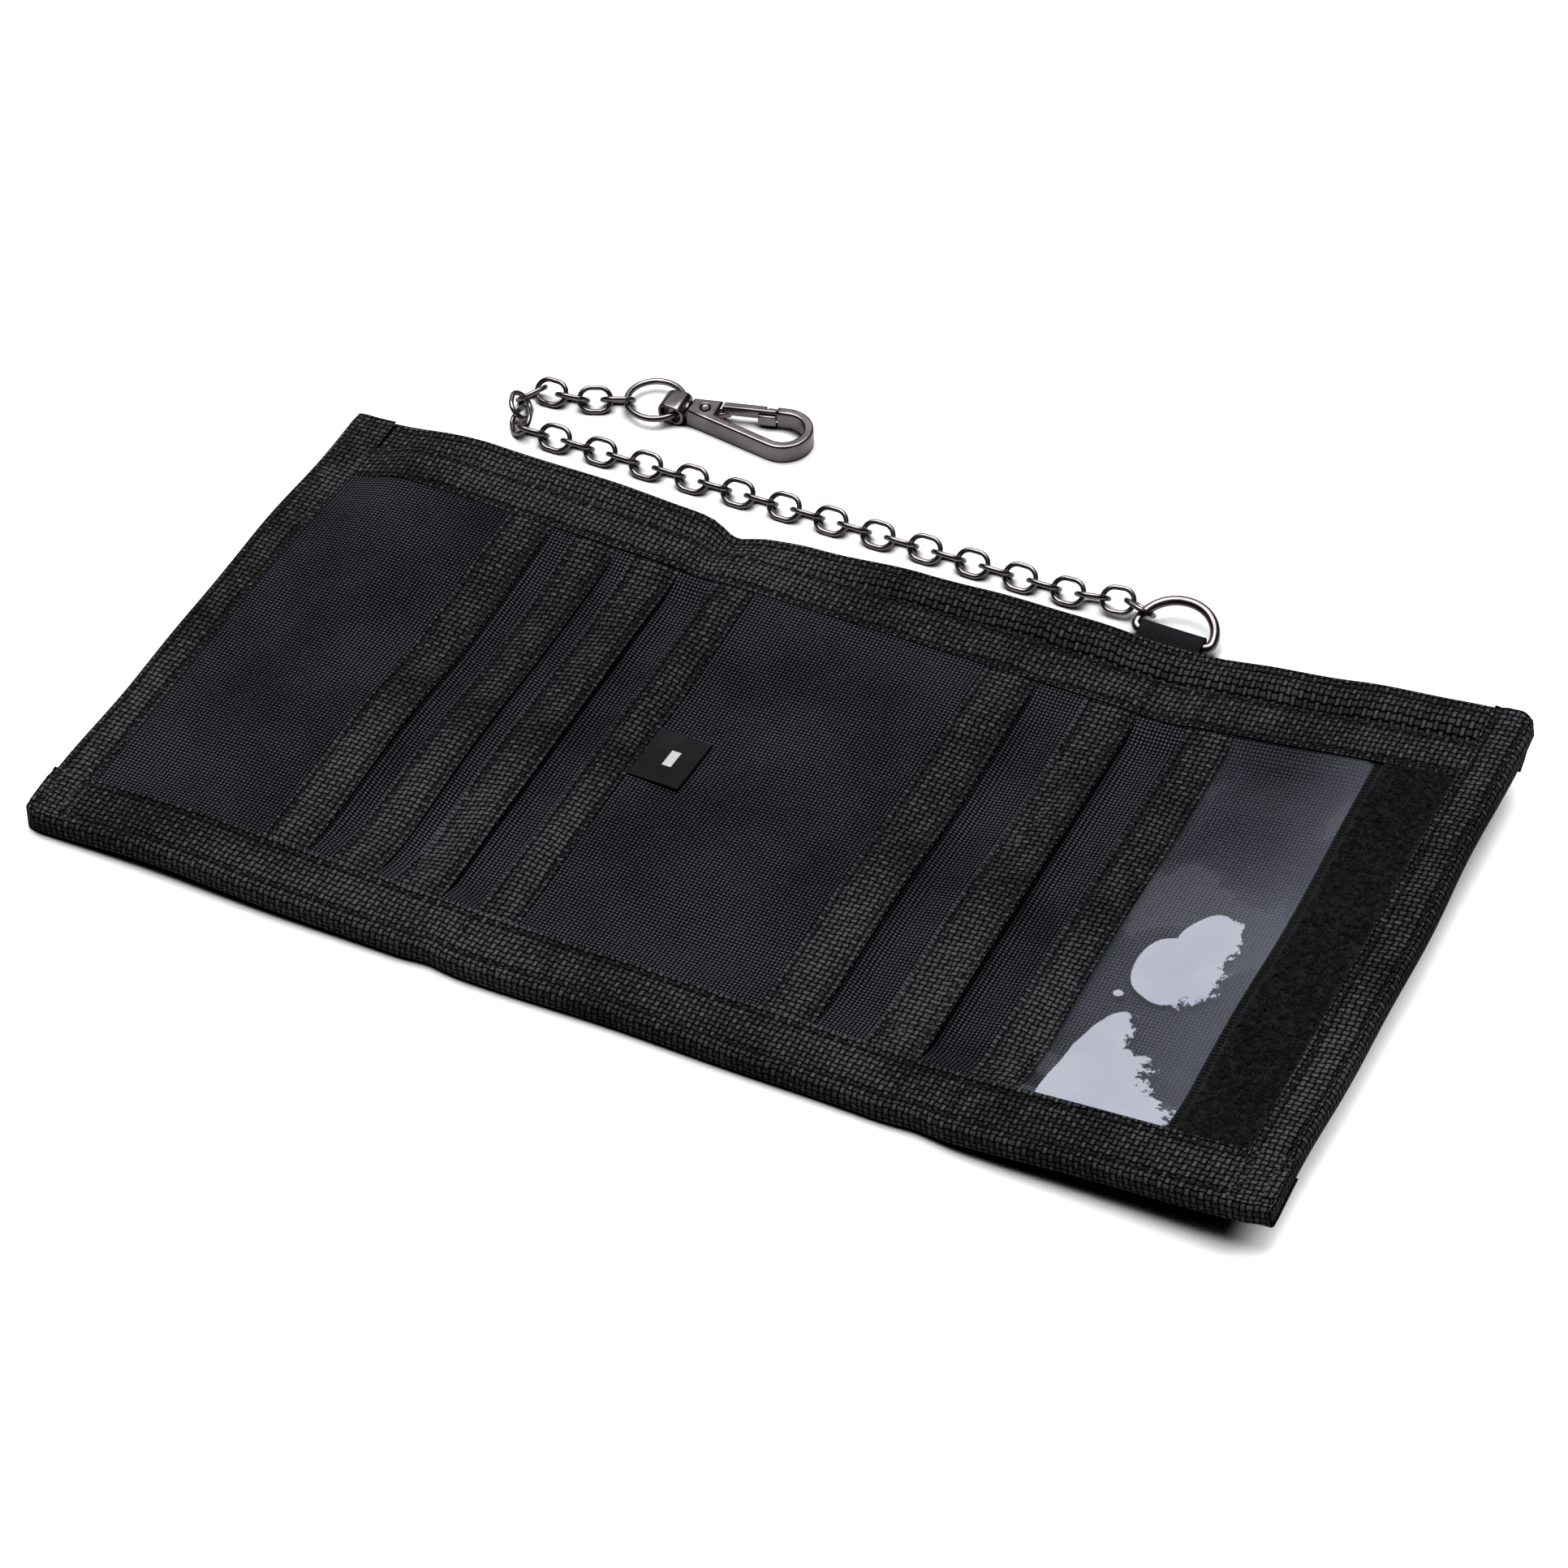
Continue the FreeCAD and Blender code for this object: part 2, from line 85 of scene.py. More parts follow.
LEFT_FOLD_X, FOLD_Z = joint_point("left_fold")[::2]
FOLD_A_X = joint_point("right_fold_inner")[0]
SPINE_WIDTH = math.dist(joint_point("right_fold_inner"), joint_point("right_fold_outer"))
FOLD_B_X = FOLD_A_X + SPINE_WIDTH
LEFT_TILT = 180 - JOINTS["left_fold"]["range_deg"][1]
RIGHT_TILT = -JOINTS["right_fold_inner"]["range_deg"][0]
LEFT_REACH = 3.0
SPINE_REACH = 1.5
GROUND_CLEARANCE = 0.03


def smooth(t):
    t = np.clip(t, 0, 1)
    return t * t * (3 - 2 * t)


def curve(x, knots):
    """A smooth curve through (x, value) knots."""
    xs = np.array([k[0] for k in knots], float)
    vs = np.array([k[1] for k in knots], float)
    i = np.clip(np.searchsorted(xs, x) - 1, 0, len(xs) - 2)
    return vs[i] + (vs[i + 1] - vs[i]) * smooth((x - xs[i]) / (xs[i + 1] - xs[i]))


def turn_y(p, pivot_x, degrees):
    angle = np.radians(degrees)
    dx = p[:, 0] - pivot_x
    dz = p[:, 2] - FOLD_Z
    x = pivot_x + dx * np.cos(angle) + dz * np.sin(angle)
    z = FOLD_Z - dx * np.sin(angle) + dz * np.cos(angle)
    return np.stack([x, p[:, 1], z], 1)


def place(p):
    """Flat cloth coordinates to the row frame, in millimetres."""
    x = p[:, 0].copy()
    left = smooth((LEFT_FOLD_X + LEFT_REACH - x) / (2 * LEFT_REACH))
    inner = smooth((x - FOLD_A_X + SPINE_REACH) / (2 * SPINE_REACH))
    outer = smooth((x - FOLD_B_X + SPINE_REACH) / (2 * SPINE_REACH))
    p = turn_y(p, LEFT_FOLD_X, LEFT_TILT * left)
    p = turn_y(p, FOLD_B_X, -RIGHT_TILT * outer)
    return turn_y(p, FOLD_A_X, -RIGHT_TILT * inner)


def flat_box(node):
    """A cloth node's lowest and highest corner in flat coordinates, in millimetres."""
    body = frame["nodes"][node]["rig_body"]
    p = np.array([v.co for v in frame["nodes"][node].data.vertices], float) / MM
    if body == "left_panel":
        p = turn_y(p, LEFT_FOLD_X, -LEFT_TILT)
    if body in ("spine", "right_panel"):
        p = turn_y(p, FOLD_A_X, RIGHT_TILT)
    if body == "right_panel":
        p = turn_y(p, FOLD_B_X, RIGHT_TILT)
    return p.min(0), p.max(0)


edge_low, edge_high = flat_box("edge_binding_left")
END_X = -edge_low[0]
NEAR_Y = edge_low[1]
FAR_Y = edge_high[1]
TOP_Z = edge_high[2]
NEAR_BAND_Y = flat_box("near_binding_centre")[1][1]
FAR_BAND_Y = flat_box("outer_far_binding_centre")[0][1]
SHELL_TOP = flat_box("outer_far_binding_centre")[1][2]
inner_low, inner_high = flat_box("inner_far_binding_centre")
SIDE_BAND_X = flat_box("inner_far_binding_right")[1][0] + 0.1
FLANGE_Z = TOP_Z - 0.4
RISE = 6.5
FILM_END_X = flat_box("loop_strip")[0][0] + 1.5
CORNER_R = 2.6
SHARP_CORNER_R = 1.2

# How far the bill compartment's mouth stands up and bows outwards, as (x, amount) knots along the wallet.
FAR_LIFT = ((-121, 0), (-108, 0.1), (-90, 1.0), (-65, 2.0), (-48, 1.3), (-36, 0.0), (-22, 1.5), (0, 2.6),
            (20, 3.2), (48, 3.3), (57, 2.7), (70, 3.0), (95, 3.0), (121, 3.0))
FAR_BULGE = ((-121, 0), (-20, 0), (0, 0.5), (20, 1.3), (35, 1.4), (47, 0.8), (57, 2.4), (68, 2.7), (85, 1.7),
             (105, 0.6), (121, 0))
# The cloth sinks just past each pocket's mouth: (x of the mouth, depth).
POCKET_VALLEYS = [(flat_box(node)[1][0], depth) for node, depth in (
    ("left_pocket_tape_lower", 1.3), ("left_pocket_tape_middle", 1.3), ("left_pocket_tape_upper", 1.5),
    ("centre_pocket_tape_lower", 1.3), ("centre_pocket_tape_upper", 1.5))]
SAG_DEPTH = 2.1
LEFT_CREASE_HALF = 3.5
RIGHT_CREASE_HALF = 4.5
RIGHT_CREASE_X = (FOLD_A_X + FOLD_B_X) / 2
CREASE_DIP = 0.9
LEFT_CREASE_NOTCH = 1.8
NEAR_CREASE_NOTCH = 0.7
FAR_RIGHT_BOW = 1.2
RIGHT_END_REACH = 1.3
BAND_MEETING_SHARE = 0.85
PINCH = 0.8
LEFT_END_DROP = 1.62
RIGHT_TWIST = 2.1


def sag(x, y):
    """How far the pocket cloth has sunk, 0 to 1."""
    a = 0.5 + 0.5 * np.sin(x / 8.5 + 1.2 * np.sin(y / 19 + 0.6) + 2.4)
    b = 0.5 + 0.5 * np.sin(y / 9.5 + 0.9 * np.sin(x / 17 + 1.1) + 0.4)
    return 0.55 * a * b + 0.3 * b + 0.15 * a


def relax(p, under_band=0.0):
    """Sewn cloth isn't flat: it sinks between its bands, curls, dips at the folds and wobbles."""
    x, y, z = p[:, 0].copy(), p[:, 1].copy(), p[:, 2].copy()
    x0, y0, z0 = x.copy(), y.copy(), z.copy()
    top = np.clip(z / TOP_Z, 0, 1)
    free = smooth((END_X - 9 - np.abs(x)) / 12)
    free = free * smooth((y - NEAR_BAND_Y) / 12) * smooth((inner_low[1] - y) / 10)
    for fold in (LEFT_FOLD_X, RIGHT_CREASE_X):
        free = free * smooth((np.abs(x - fold) - 4) / 10)
    z -= SAG_DEPTH * top * sag(x0, y0) * free
    along = smooth((y0 - NEAR_BAND_Y) / 16) * smooth((inner_low[1] - y0) / 16)
    for mouth, depth in POCKET_VALLEYS:
        out = x0 - mouth
        z -= depth * top * along * smooth((out - 0.4) / 2.6) * smooth((10 - out) / 7.4)
    z += curve(x0, FAR_LIFT) * smooth((y0 - FAR_BAND_Y) / 6) * smooth((SHELL_TOP + 0.5 - z) / 0.4)
    left_crease = np.exp(-((x0 - LEFT_FOLD_X) / LEFT_CREASE_HALF) ** 2)
    crease = left_crease + np.exp(-((x0 - RIGHT_CREASE_X) / RIGHT_CREASE_HALF) ** 2)
    z -= CREASE_DIP * crease * top * smooth((y0 - 40) / 8)
    y -= LEFT_CREASE_NOTCH * left_crease * smooth((y0 - 45) / 17)
    y += curve(x0, FAR_BULGE) * smooth((y0 - 42) / 20)
    y += NEAR_CREASE_NOTCH * crease * smooth((-45 - y0) / 17)
    near_far = smooth((np.abs(y0) - 44) / 18)
    y += near_far * (0.3 * np.sin(x0 / 19 + 0.8) + 0.16 * np.sin(x0 / 7.3 + 2.0))
    y += FAR_RIGHT_BOW * smooth((y0 - 53) / 9) * smooth((x0 - 62) / 40)
    sides = smooth((np.abs(x0) - 108) / 12)
    x += RIGHT_END_REACH * smooth((x0 - 100) / 20)
    x += sides * (0.35 * np.sin(y0 / 15 + 1.9) + 0.18 * np.sin(y0 / 6.1))
    meets_band = smooth(np.maximum(y0 - inner_low[1], NEAR_BAND_Y - y0) / RISE + 1)
    meets_band = np.maximum(meets_band, smooth((RISE - SIDE_BAND_X - x0) / RISE))
    meets_band = meets_band * (z0 > inner_low[2] - 0.3) * (z0 < FLANGE_Z) * (np.abs(x0) < SIDE_BAND_X + 2)
    z += BAND_MEETING_SHARE * (FLANGE_Z - z0) * meets_band * smooth((FILM_END_X - x0) / 3) * under_band
    pinch = smooth((y0 - 4) / 50) * smooth((-100 - x0) / 14)
    z *= 1 - PINCH * pinch
    z -= LEFT_END_DROP * smooth((-90 - x0) / 30)
    z += RIGHT_TWIST * (y0 / FAR_Y) * smooth((x0 - FOLD_B_X - 3) / 58)
    radius = np.where((x < 0) & (y > 0), SHARP_CORNER_R, CORNER_R)
    cx = np.clip(np.abs(x) - (END_X - radius), 0, None)
    cy = np.clip(np.abs(y) - (FAR_Y - radius), 0, None)
    reach = np.maximum(np.hypot(cx, cy), 1e-6)
    outside = (cx > 0) & (cy > 0)
    shrink = np.where(outside, np.maximum(cx, cy) / reach, 1.0)
    x = np.where(outside, np.sign(x) * (END_X - radius + cx * shrink), x)
    y = np.where(outside, np.sign(y) * (FAR_Y - radius + cy * shrink), y)
    return np.stack([x, y, z], 1)


def to_row(p, under_band=0.0):
    p = place(relax(np.asarray(p, float), under_band))
    p[:, 2] = np.maximum(p[:, 2], GROUND_CLEARANCE)
    return p * MM


def to_row_under_bands(p):
    """As to_row, for cloth whose ends run up under the bands."""
    return to_row(p, 1.0)


# ---- meshes ----
class Cloth:
    """Flat-coordinate geometry with a weave map in metres, gathered before it becomes one object."""

    def __init__(self):
        self.points = []
        self.seams = []
        self.faces = []
        self.uvs = []

    def add(self, points, faces, uvs=None):
        """Adds faces. Their weave map is seen from above unless one is given."""
        base = len(self.points)
        self.points += [tuple(p[:3]) for p in points]
        # A point's fourth value, if any, is how much painted shade it gets along a stitch groove.
        self.seams += [p[3] if len(p) > 3 else 0.0 for p in points]
        self.faces += [tuple(base + i for i in f) for f in faces]
        self.uvs += uvs or [[points[i][:2] for i in face] for face in faces]
        return self

    def build(self, name, material, sharp=42, transform=to_row):
        mesh = bpy.data.meshes.new(name)
        world = transform(self.points)
        mesh.from_pydata([tuple(p) for p in world], [], self.faces)
        layer = mesh.uv_layers.new(name="weave")
        flat = np.array([c for face in self.uvs for c in face], np.float32) * MM
        layer.data.foreach_set("uv", flat.ravel())
        mesh.attributes.new("seam", "FLOAT", "POINT").data.foreach_set("value", self.seams)
        bm = bmesh.new()
        bm.from_mesh(mesh)
        bmesh.ops.recalc_face_normals(bm, faces=bm.faces)
        bm.to_mesh(mesh)
        bm.free()
        mesh.polygons.foreach_set("use_smooth", [True] * len(mesh.polygons))
        mesh.set_sharp_from_angle(angle=math.radians(sharp))
        mesh.materials.append(material)
        obj = bpy.data.objects.new(name, mesh)
        bpy.context.scene.collection.objects.link(obj)
        return obj


def ring_faces(rings, n):
    """Quads between closed rings of n points each, then a cap on the first and the last ring."""
    faces = [(i * n + j, i * n + (j + 1) % n, (i + 1) * n + (j + 1) % n, (i + 1) * n + j)
             for i in range(rings - 1) for j in range(n)]
    last = (rings - 1) * n
    return faces + [tuple(range(n)), tuple(reversed(range(last, last + n)))]


def loft(stations, ring, along, lift=None):
    """Rings of (across, z) swept along x or y, with a weave map that runs round the ring."""
    n = len(ring)
    girth = [0.0]
    for j in range(n):
        a, b = ring[j], ring[(j + 1) % n]
        girth.append(girth[-1] + math.dist(a[:2], b[:2]))
    points, uvs = [], []
    for t in stations:
        for a, z, *seam in ring:
            x, y = (t, a) if along == "x" else (a, t)
            points.append((x, y, z + (lift(x, y) if lift else 0.0), *seam))
    for s, t in zip(stations, stations[1:]):
        uvs += [[(s, girth[j]), (s, girth[j + 1]), (t, girth[j + 1]), (t, girth[j])] for j in range(n)]
    uvs += [[r[:2] for r in ring], [r[:2] for r in reversed(ring)]]
    return points, ring_faces(len(stations), n), uvs


def lofted(*shape):
    return Cloth().add(*loft(*shape))


def steps(a, b, size):
    count = max(1, round(abs(b - a) / size))
    return [a + (b - a) * i / count for i in range(count + 1)]


def groove(u, lines, depth=0.3, half=0.55):
    return -sum(depth * math.exp(-((u - s) / half) ** 2) for s in lines)


def wrap_ring(edge, inner, z0, z1, stitch_lines, wall=0.35, fineness=0.6):
    """Section of a tape folded round an edge: two flanges, a rounded outer edge and its seams."""
    sign = 1 if inner > edge else -1
    width = abs(inner - edge)
    middle = (z0 + z1) / 2
    r = min((z1 - z0) / 2, 1.5)
    ring = [(u, z0) for u in steps(width, r, 2.0)]
    ring += [(r - r * math.cos(a), z0 + r - r * math.sin(a)) for a in (1.2, 0.8, 0.4, 0.0)]
    ring += [(r - r * math.cos(a), z1 - r + r * math.sin(a)) for a in (0.05, 0.4, 0.8, 1.2)]
    # The third value is the painted shade the tape gets along each stitch groove.
    ring += [(u, z1 + groove(u, stitch_lines), -groove(u, stitch_lines, 1.0, 0.5))
             for u in steps(r, width - 0.2, fineness)]
    ring += [(width, z1 - 0.1), (width, z1 - wall)]
    ring += [(wall + 0.4, z1 - wall), (wall, middle + 0.05), (wall, middle - 0.05), (wall + 0.4, z0 + wall)]
    if z1 - z0 > 2 * wall + 0.05:
        ring.append((width, z0 + wall))
    else:
        ring = ring[:-4] + [(width - 0.05, middle)]
    return [(edge + sign * u, *rest) for u, *rest in ring]


def slab_ring(a0, a1, z0, z1, size=2.0):
    return [(a, z0) for a in steps(a0, a1, size)] + [(a, z1) for a in steps(a1, a0, size)]


STITCH_PITCH = 2.9
STITCH_LENGTH = 2.15


def stitch(cloth, x, y, z, along, lift=None, length=STITCH_LENGTH, width=0.62, height=0.4):
    """One lockstitch: a short thread bump that dips into the cloth at both ends."""
    shape = ((-0.5, 0.3, -0.2), (-0.38, 0.8, 0.0), (0.0, 1.0, 0.06), (0.38, 0.8, 0.0), (0.5, 0.3, -0.2))
    sides = 6
    points = []
    dx, dy = along
    for s, share, drop in shape:
        for k in range(sides):
            a = 2 * math.pi * k / sides
            across = math.cos(a) * width / 2 * share
            up = math.sin(a) * height / 2 * share + drop
            px = x + dx * s * length - dy * across
            py = y + dy * s * length + dx * across
            points.append((px, py, z + up + (lift(px, py) if lift else 0.0)))
    uvs = [[(i, k), (i, k + 1), (i + 1, k + 1), (i + 1, k)]
           for i in range(len(shape) - 1) for k in range(sides)]
    uvs += [[(0, k) for k in range(sides)], [(1, k) for k in range(sides)]]
    cloth.add(points, ring_faces(len(shape), sides), uvs)


def stitch_row(cloth, start, end, z, lift=None, pitch=STITCH_PITCH):
    length = math.dist(start, end)
    along = ((end[0] - start[0]) / length, (end[1] - start[1]) / length)
    count = int(length / pitch)
    for i in range(count):
        d = (i + 0.5) * length / count
        wander = 0.08 * math.sin(i * 1.7 + start[0])
        x = start[0] + along[0] * d - along[1] * wander
        y = start[1] + along[1] * d + along[0] * wander
        stitch(cloth, x, y, z, along, lift)


# ---- materials ----
class Graph:
    """A few short calls for building a node material."""

    def __init__(self, name):
        self.material = bpy.data.materials.new(name)
        self.material.use_nodes = True
        self.tree = self.material.node_tree
        self.tree.nodes.clear()
        self.out = self.tree.nodes.new("ShaderNodeOutputMaterial")

    def node(self, kind, inputs=None, **settings):
        made = self.tree.nodes.new(kind)
        for key, value in settings.items():
            setattr(made, key, value)
        for key, value in (inputs or {}).items():
            self.put(made.inputs[key], value)
        return made

    def put(self, socket, value):
        if isinstance(value, bpy.types.NodeSocket):
            self.tree.links.new(value, socket)
        else:
            socket.default_value = value

    def math(self, operation, a, b=0.0, c=0.0):
        made = self.node("ShaderNodeMath", {0: a, 1: b, 2: c}, operation=operation)
        return made.outputs[0]

    def times(self, a, b):
        return self.math("MULTIPLY", a, b)

    def ramp(self, value, low, high, out_low=0.0, out_high=1.0):
        made = self.node("ShaderNodeMapRange", {"Value": value, "From Min": low, "From Max": high,
                                                "To Min": out_low, "To Max": out_high},
                         interpolation_type="SMOOTHSTEP")
        return made.outputs["Result"]

    def mix(self, share, a, b):
        made = self.node("ShaderNodeMix", data_type="RGBA")
        self.put(made.inputs["Factor"], share)
        self.put(made.inputs[6], a)
        self.put(made.inputs[7], b)
        return made.outputs[2]

    def x_and_y(self, vector):
        made = self.node("ShaderNodeSeparateXYZ", {0: vector})
        return made.outputs["X"], made.outputs["Y"]

    def uv(self):
        return self.node("ShaderNodeUVMap", uv_map="weave").outputs["UV"]

    def scaled(self, vector, factor):
        made = self.node("ShaderNodeVectorMath", {0: vector, 1: (factor,) * 3}, operation="MULTIPLY")
        return made.outputs[0]

    def noise(self, vector, scale, detail=2.0, roughness=0.5):
        made = self.node("ShaderNodeTexNoise", {"Vector": vector, "Scale": scale, "Detail": detail,
                                                "Roughness": roughness})
        return made.outputs["Fac"]

    def bump(self, height, strength, distance):
        inputs = {"Height": height, "Strength": strength, "Distance": distance}
        return self.node("ShaderNodeBump", inputs).outputs["Normal"]

    def mix_shader(self, share, a, b):
        return self.node("ShaderNodeMixShader", {0: share, 1: a.outputs[0], 2: b.outputs[0]})

    def principled(self, inputs):
        made = self.node("ShaderNodeBsdfPrincipled", inputs)
        self.tree.links.new(made.outputs[0], self.out.inputs["Surface"])
        return made


def rgb(r, g, b):
    return (r, g, b, 1.0)


def weave(name, pitch, dark, light, weft_share, fleck, roughness, sheen, bump, tone=0.35, slub=0.0,
          shine=0.15, edge=(0.1, 0.7), length=0.3):
    """Plain-woven cloth: crossing threads, each crown its own shade, with slow changes in tone and painted
    shade along the stitch grooves.
    """
    g = Graph(name)
    uv = g.uv()
    cells = g.scaled(uv, 1 / (pitch * MM))
    if slub:
        drift = g.noise(uv, 90.0, 1.0)
        shift = g.scaled(g.node("ShaderNodeCombineXYZ", {"X": drift, "Y": drift}).outputs[0], slub)
        cells = g.node("ShaderNodeVectorMath", {0: cells, 1: shift}, operation="ADD").outputs[0]
    u, v = g.x_and_y(cells)
    sine_u = g.math("SINE", g.times(u, math.pi))
    sine_v = g.math("SINE", g.times(v, math.pi))
    over = g.times(g.math("SIGN", sine_u), sine_v)
    under = g.times(g.math("SIGN", sine_v), sine_u)
    warp = g.times(g.ramp(g.math("ABSOLUTE", sine_u), *edge), g.ramp(over, -length, 0.55))
    weft = g.times(g.ramp(g.math("ABSOLUTE", sine_v), *edge),
                  g.ramp(g.times(under, -1.0), -length, 0.55))
    crown = g.math("MAXIMUM", warp, weft)
    is_warp = g.math("GREATER_THAN", warp, weft)
    thread = g.math("MULTIPLY_ADD", is_warp, 1.0 - weft_share, weft_share)
    cell = g.node("ShaderNodeVectorMath", {0: cells}, operation="FLOOR").outputs[0]
    spot = g.node("ShaderNodeTexWhiteNoise", {"Vector": cell}, noise_dimensions="3D").outputs["Value"]
    shade = g.math("MULTIPLY_ADD", g.math("POWER", spot, 2.2), fleck, 1.0 - 0.45 * fleck)
    slow = g.noise(uv, 28.0, 3.0, 0.55)
    tone_value = g.ramp(slow, 0.3, 0.72, 1.0 - tone, 1.0 + tone)
    # Painted shade: the cloth is darkened along its stitch grooves, on top of its random tone.
    seam = g.node("ShaderNodeAttribute", attribute_name="seam").outputs["Fac"]
    tone_and_groove_shade = g.times(tone_value, g.math("MULTIPLY_ADD", seam, -0.65, 1.0))
    value = g.times(g.times(crown, thread), g.times(shade, tone_and_groove_shade))
    colour = g.mix(g.math("MINIMUM", value, 1.6), dark, light)
    fibre = g.noise(uv, 3800.0, 2.0, 0.6)
    rough = g.ramp(fibre, 0.2, 0.8, roughness - 0.08, roughness + 0.08)
    height = g.math("MULTIPLY_ADD", fibre, 0.25, g.times(crown, thread))
    normal = g.bump(height, bump, 0.00022 * pitch)
    g.principled({"Base Color": colour, "Roughness": rough, "Normal": normal, "Sheen Weight": sheen,
                  "Sheen Roughness": 0.4, "Sheen Tint": rgb(0.75, 0.78, 1.0),
                  "Specular IOR Level": g.times(g.times(crown, tone_value), shine)})
    return g.material


def thread_material():
    g = Graph("sewing_thread")
    twist = g.math("SINE", g.times(g.math("ADD", *g.x_and_y(g.uv())), 4200.0))
    colour = g.mix(g.ramp(twist, -1, 1), rgb(0.0006, 0.0006, 0.0007), rgb(0.0035, 0.0035, 0.004))
    g.principled({"Base Color": colour, "Roughness": 0.55, "Sheen Weight": 0.01, "Specular IOR Level": 0.06,
                  "Normal": g.bump(twist, 0.5, 0.00006)})
    return g.material


def metal_material(name, base, light, roughness):
    """Polished dark nickel: a faint drawn grain, slow tarnish and brighter rubbed patches."""
    g = Graph(name)
    place_vector = g.node("ShaderNodeTexCoord").outputs["Object"]
    tarnish = g.noise(place_vector, 180.0, 4.0, 0.6)
    grain = g.noise(place_vector, 4200.0, 2.0, 0.5)
    colour = g.mix(g.ramp(tarnish, 0.35, 0.7), base, light)
    rough = g.ramp(g.math("MULTIPLY_ADD", grain, 0.35, g.times(tarnish, 0.65)),
                   0.3, 0.7, roughness - 0.05, roughness + 0.07)
    g.principled({"Base Color": colour, "Metallic": 1.0, "Roughness": rough,
                  "Normal": g.bump(grain, 0.12, 0.00003)})
    return g.material


# Ovals that make up the window's painted reflection patches: centre x, centre y, half width, half height.
PAINTED_REFLECTION_OVALS = ((84.0, -14.6, 8.0, 8.2), (86.4, -6.8, 5.4, 8.8), (79.2, -49.0, 6.3, 22.5),
                (84.0, -50.5, 7.6, 15.0), (90.0, -54.5, 8.4, 11.5), (76.3, -22.4, 0.9, 0.8))


def film_material():
    """Clear vinyl: mostly see-through, with scuffs, painted reflection patches where it would mirror a lamp,
    and a painted haze of light round them and towards its right end.
    """
    g = Graph("clear_film")
    uv = g.uv()
    u, v = g.x_and_y(uv)
    ragged = g.math("SUBTRACT", g.noise(uv, 260.0, 6.0, 0.75), 0.5)
    broad = g.math("SUBTRACT", g.noise(uv, 60.0, 2.0, 0.5), 0.5)

    def offset_and_square(value, centre, radius):
        offset = g.math("DIVIDE", g.math("SUBTRACT", value, centre * MM), radius * MM)
        return offset, g.math("POWER", g.math("ABSOLUTE", offset), 2.0)

    def blot(cx, cy, rx, ry, low, high, rough=1.0):
        """An oval, torn along its right-hand side and smooth on its left."""
        dx, across = offset_and_square(u, cx, rx)
        d = g.math("ADD", across, offset_and_square(v, cy, ry)[1])
        torn = g.times(g.ramp(dx, -0.1, 0.7, 0.05, 1.0), rough)
        d = g.math("ADD", d, g.times(ragged, g.times(torn, 3.4)))
        d = g.math("ADD", d, g.times(broad, 0.9 * rough))
        return g.ramp(d, low, high, 1.0, 0.0)

    # Painted reflection: these ovals are coloured as a bright, lit diffuse surface where the film would
    # mirror a lamp.
    reflection_mask = None
    for oval in PAINTED_REFLECTION_OVALS:
        one = blot(*oval, 0.96, 1.02)
        reflection_mask = one if reflection_mask is None else g.math("MAXIMUM", reflection_mask, one)
    # Painted haze: a soft milky glow of light round the painted reflection patches.
    painted_haze = blot(85.0, -20.0, 15.0, 34.0, 0.0, 1.9, 0.4)
    scratch_uv = g.node("ShaderNodeMapping", {"Vector": uv, "Rotation": (0.0, 0.0, 0.5),
                                              "Scale": (1.0, 14.0, 1.0)})
    scratch = g.ramp(g.noise(scratch_uv.outputs[0], 95.0, 5.0, 0.75), 0.64, 0.74)
    speck = g.ramp(g.noise(uv, 1500.0, 2.0, 0.6), 0.72, 0.8)
    marks = g.times(g.math("MAXIMUM", scratch, speck), 0.16)
    ripple = g.bump(g.noise(uv, 75.0, 3.0, 0.5), 0.25, 0.0006)
    clear = g.node("ShaderNodeBsdfTransparent", {"Color": rgb(0.97, 0.98, 1.0)})
    gloss = g.node("ShaderNodeBsdfGlossy",
                   {"Color": rgb(0.9, 0.92, 1.0), "Roughness": 0.16, "Normal": ripple})
    milky = g.node("ShaderNodeBsdfDiffuse", {"Color": rgb(0.2, 0.21, 0.25)})
    fresnel = g.node("ShaderNodeFresnel", {"IOR": 1.35, "Normal": ripple}).outputs[0]
    shine = g.times(fresnel, g.ramp(v, 0.03, 0.042, 0.04, 0.012))
    sheet = g.mix_shader(shine, clear, gloss)
    # Painted glow: the film turns milkier and lighter towards its right end. The scratches and specks are
    # real scuffs.
    painted_glow = g.ramp(u, 0.08, 0.104, 0.0, 0.1)
    scuffs_and_painted_glow = g.math("ADD", g.math("ADD", g.math("MULTIPLY_ADD", painted_haze, 0.05, 0.01), painted_glow), marks)
    cloudy = g.mix_shader(scuffs_and_painted_glow, sheet, milky)
    # Colour of the painted reflection, a little streaked.
    streak = g.ramp(g.noise(uv, 90.0, 2.0), 0.3, 0.7)
    reflection_colour = g.mix(streak, rgb(0.285, 0.3, 0.36), rgb(0.32, 0.33, 0.37))
    painted_reflection = g.node("ShaderNodeBsdfDiffuse", {"Color": reflection_colour})
    both = g.mix_shader(g.times(reflection_mask, 0.93), cloudy, painted_reflection)
    g.tree.links.new(both.outputs[0], g.out.inputs["Surface"])
    return g.material


def pile_material():
    g = Graph("loop_pile")
    uv = g.uv()
    clump = g.noise(uv, 900.0, 3.0, 0.6)
    slow = g.noise(uv, 120.0, 2.0, 0.5)
    colour = g.mix(g.times(clump, slow), rgb(0.0003, 0.0003, 0.0004), rgb(0.0075, 0.0075, 0.0085))
    g.principled({"Base Color": colour, "Roughness": 0.9, "Sheen Weight": 0.01, "Sheen Roughness": 0.6,
                  "Specular IOR Level": 0.15, "Normal": g.bump(clump, 0.6, 0.0003)})
    return g.material


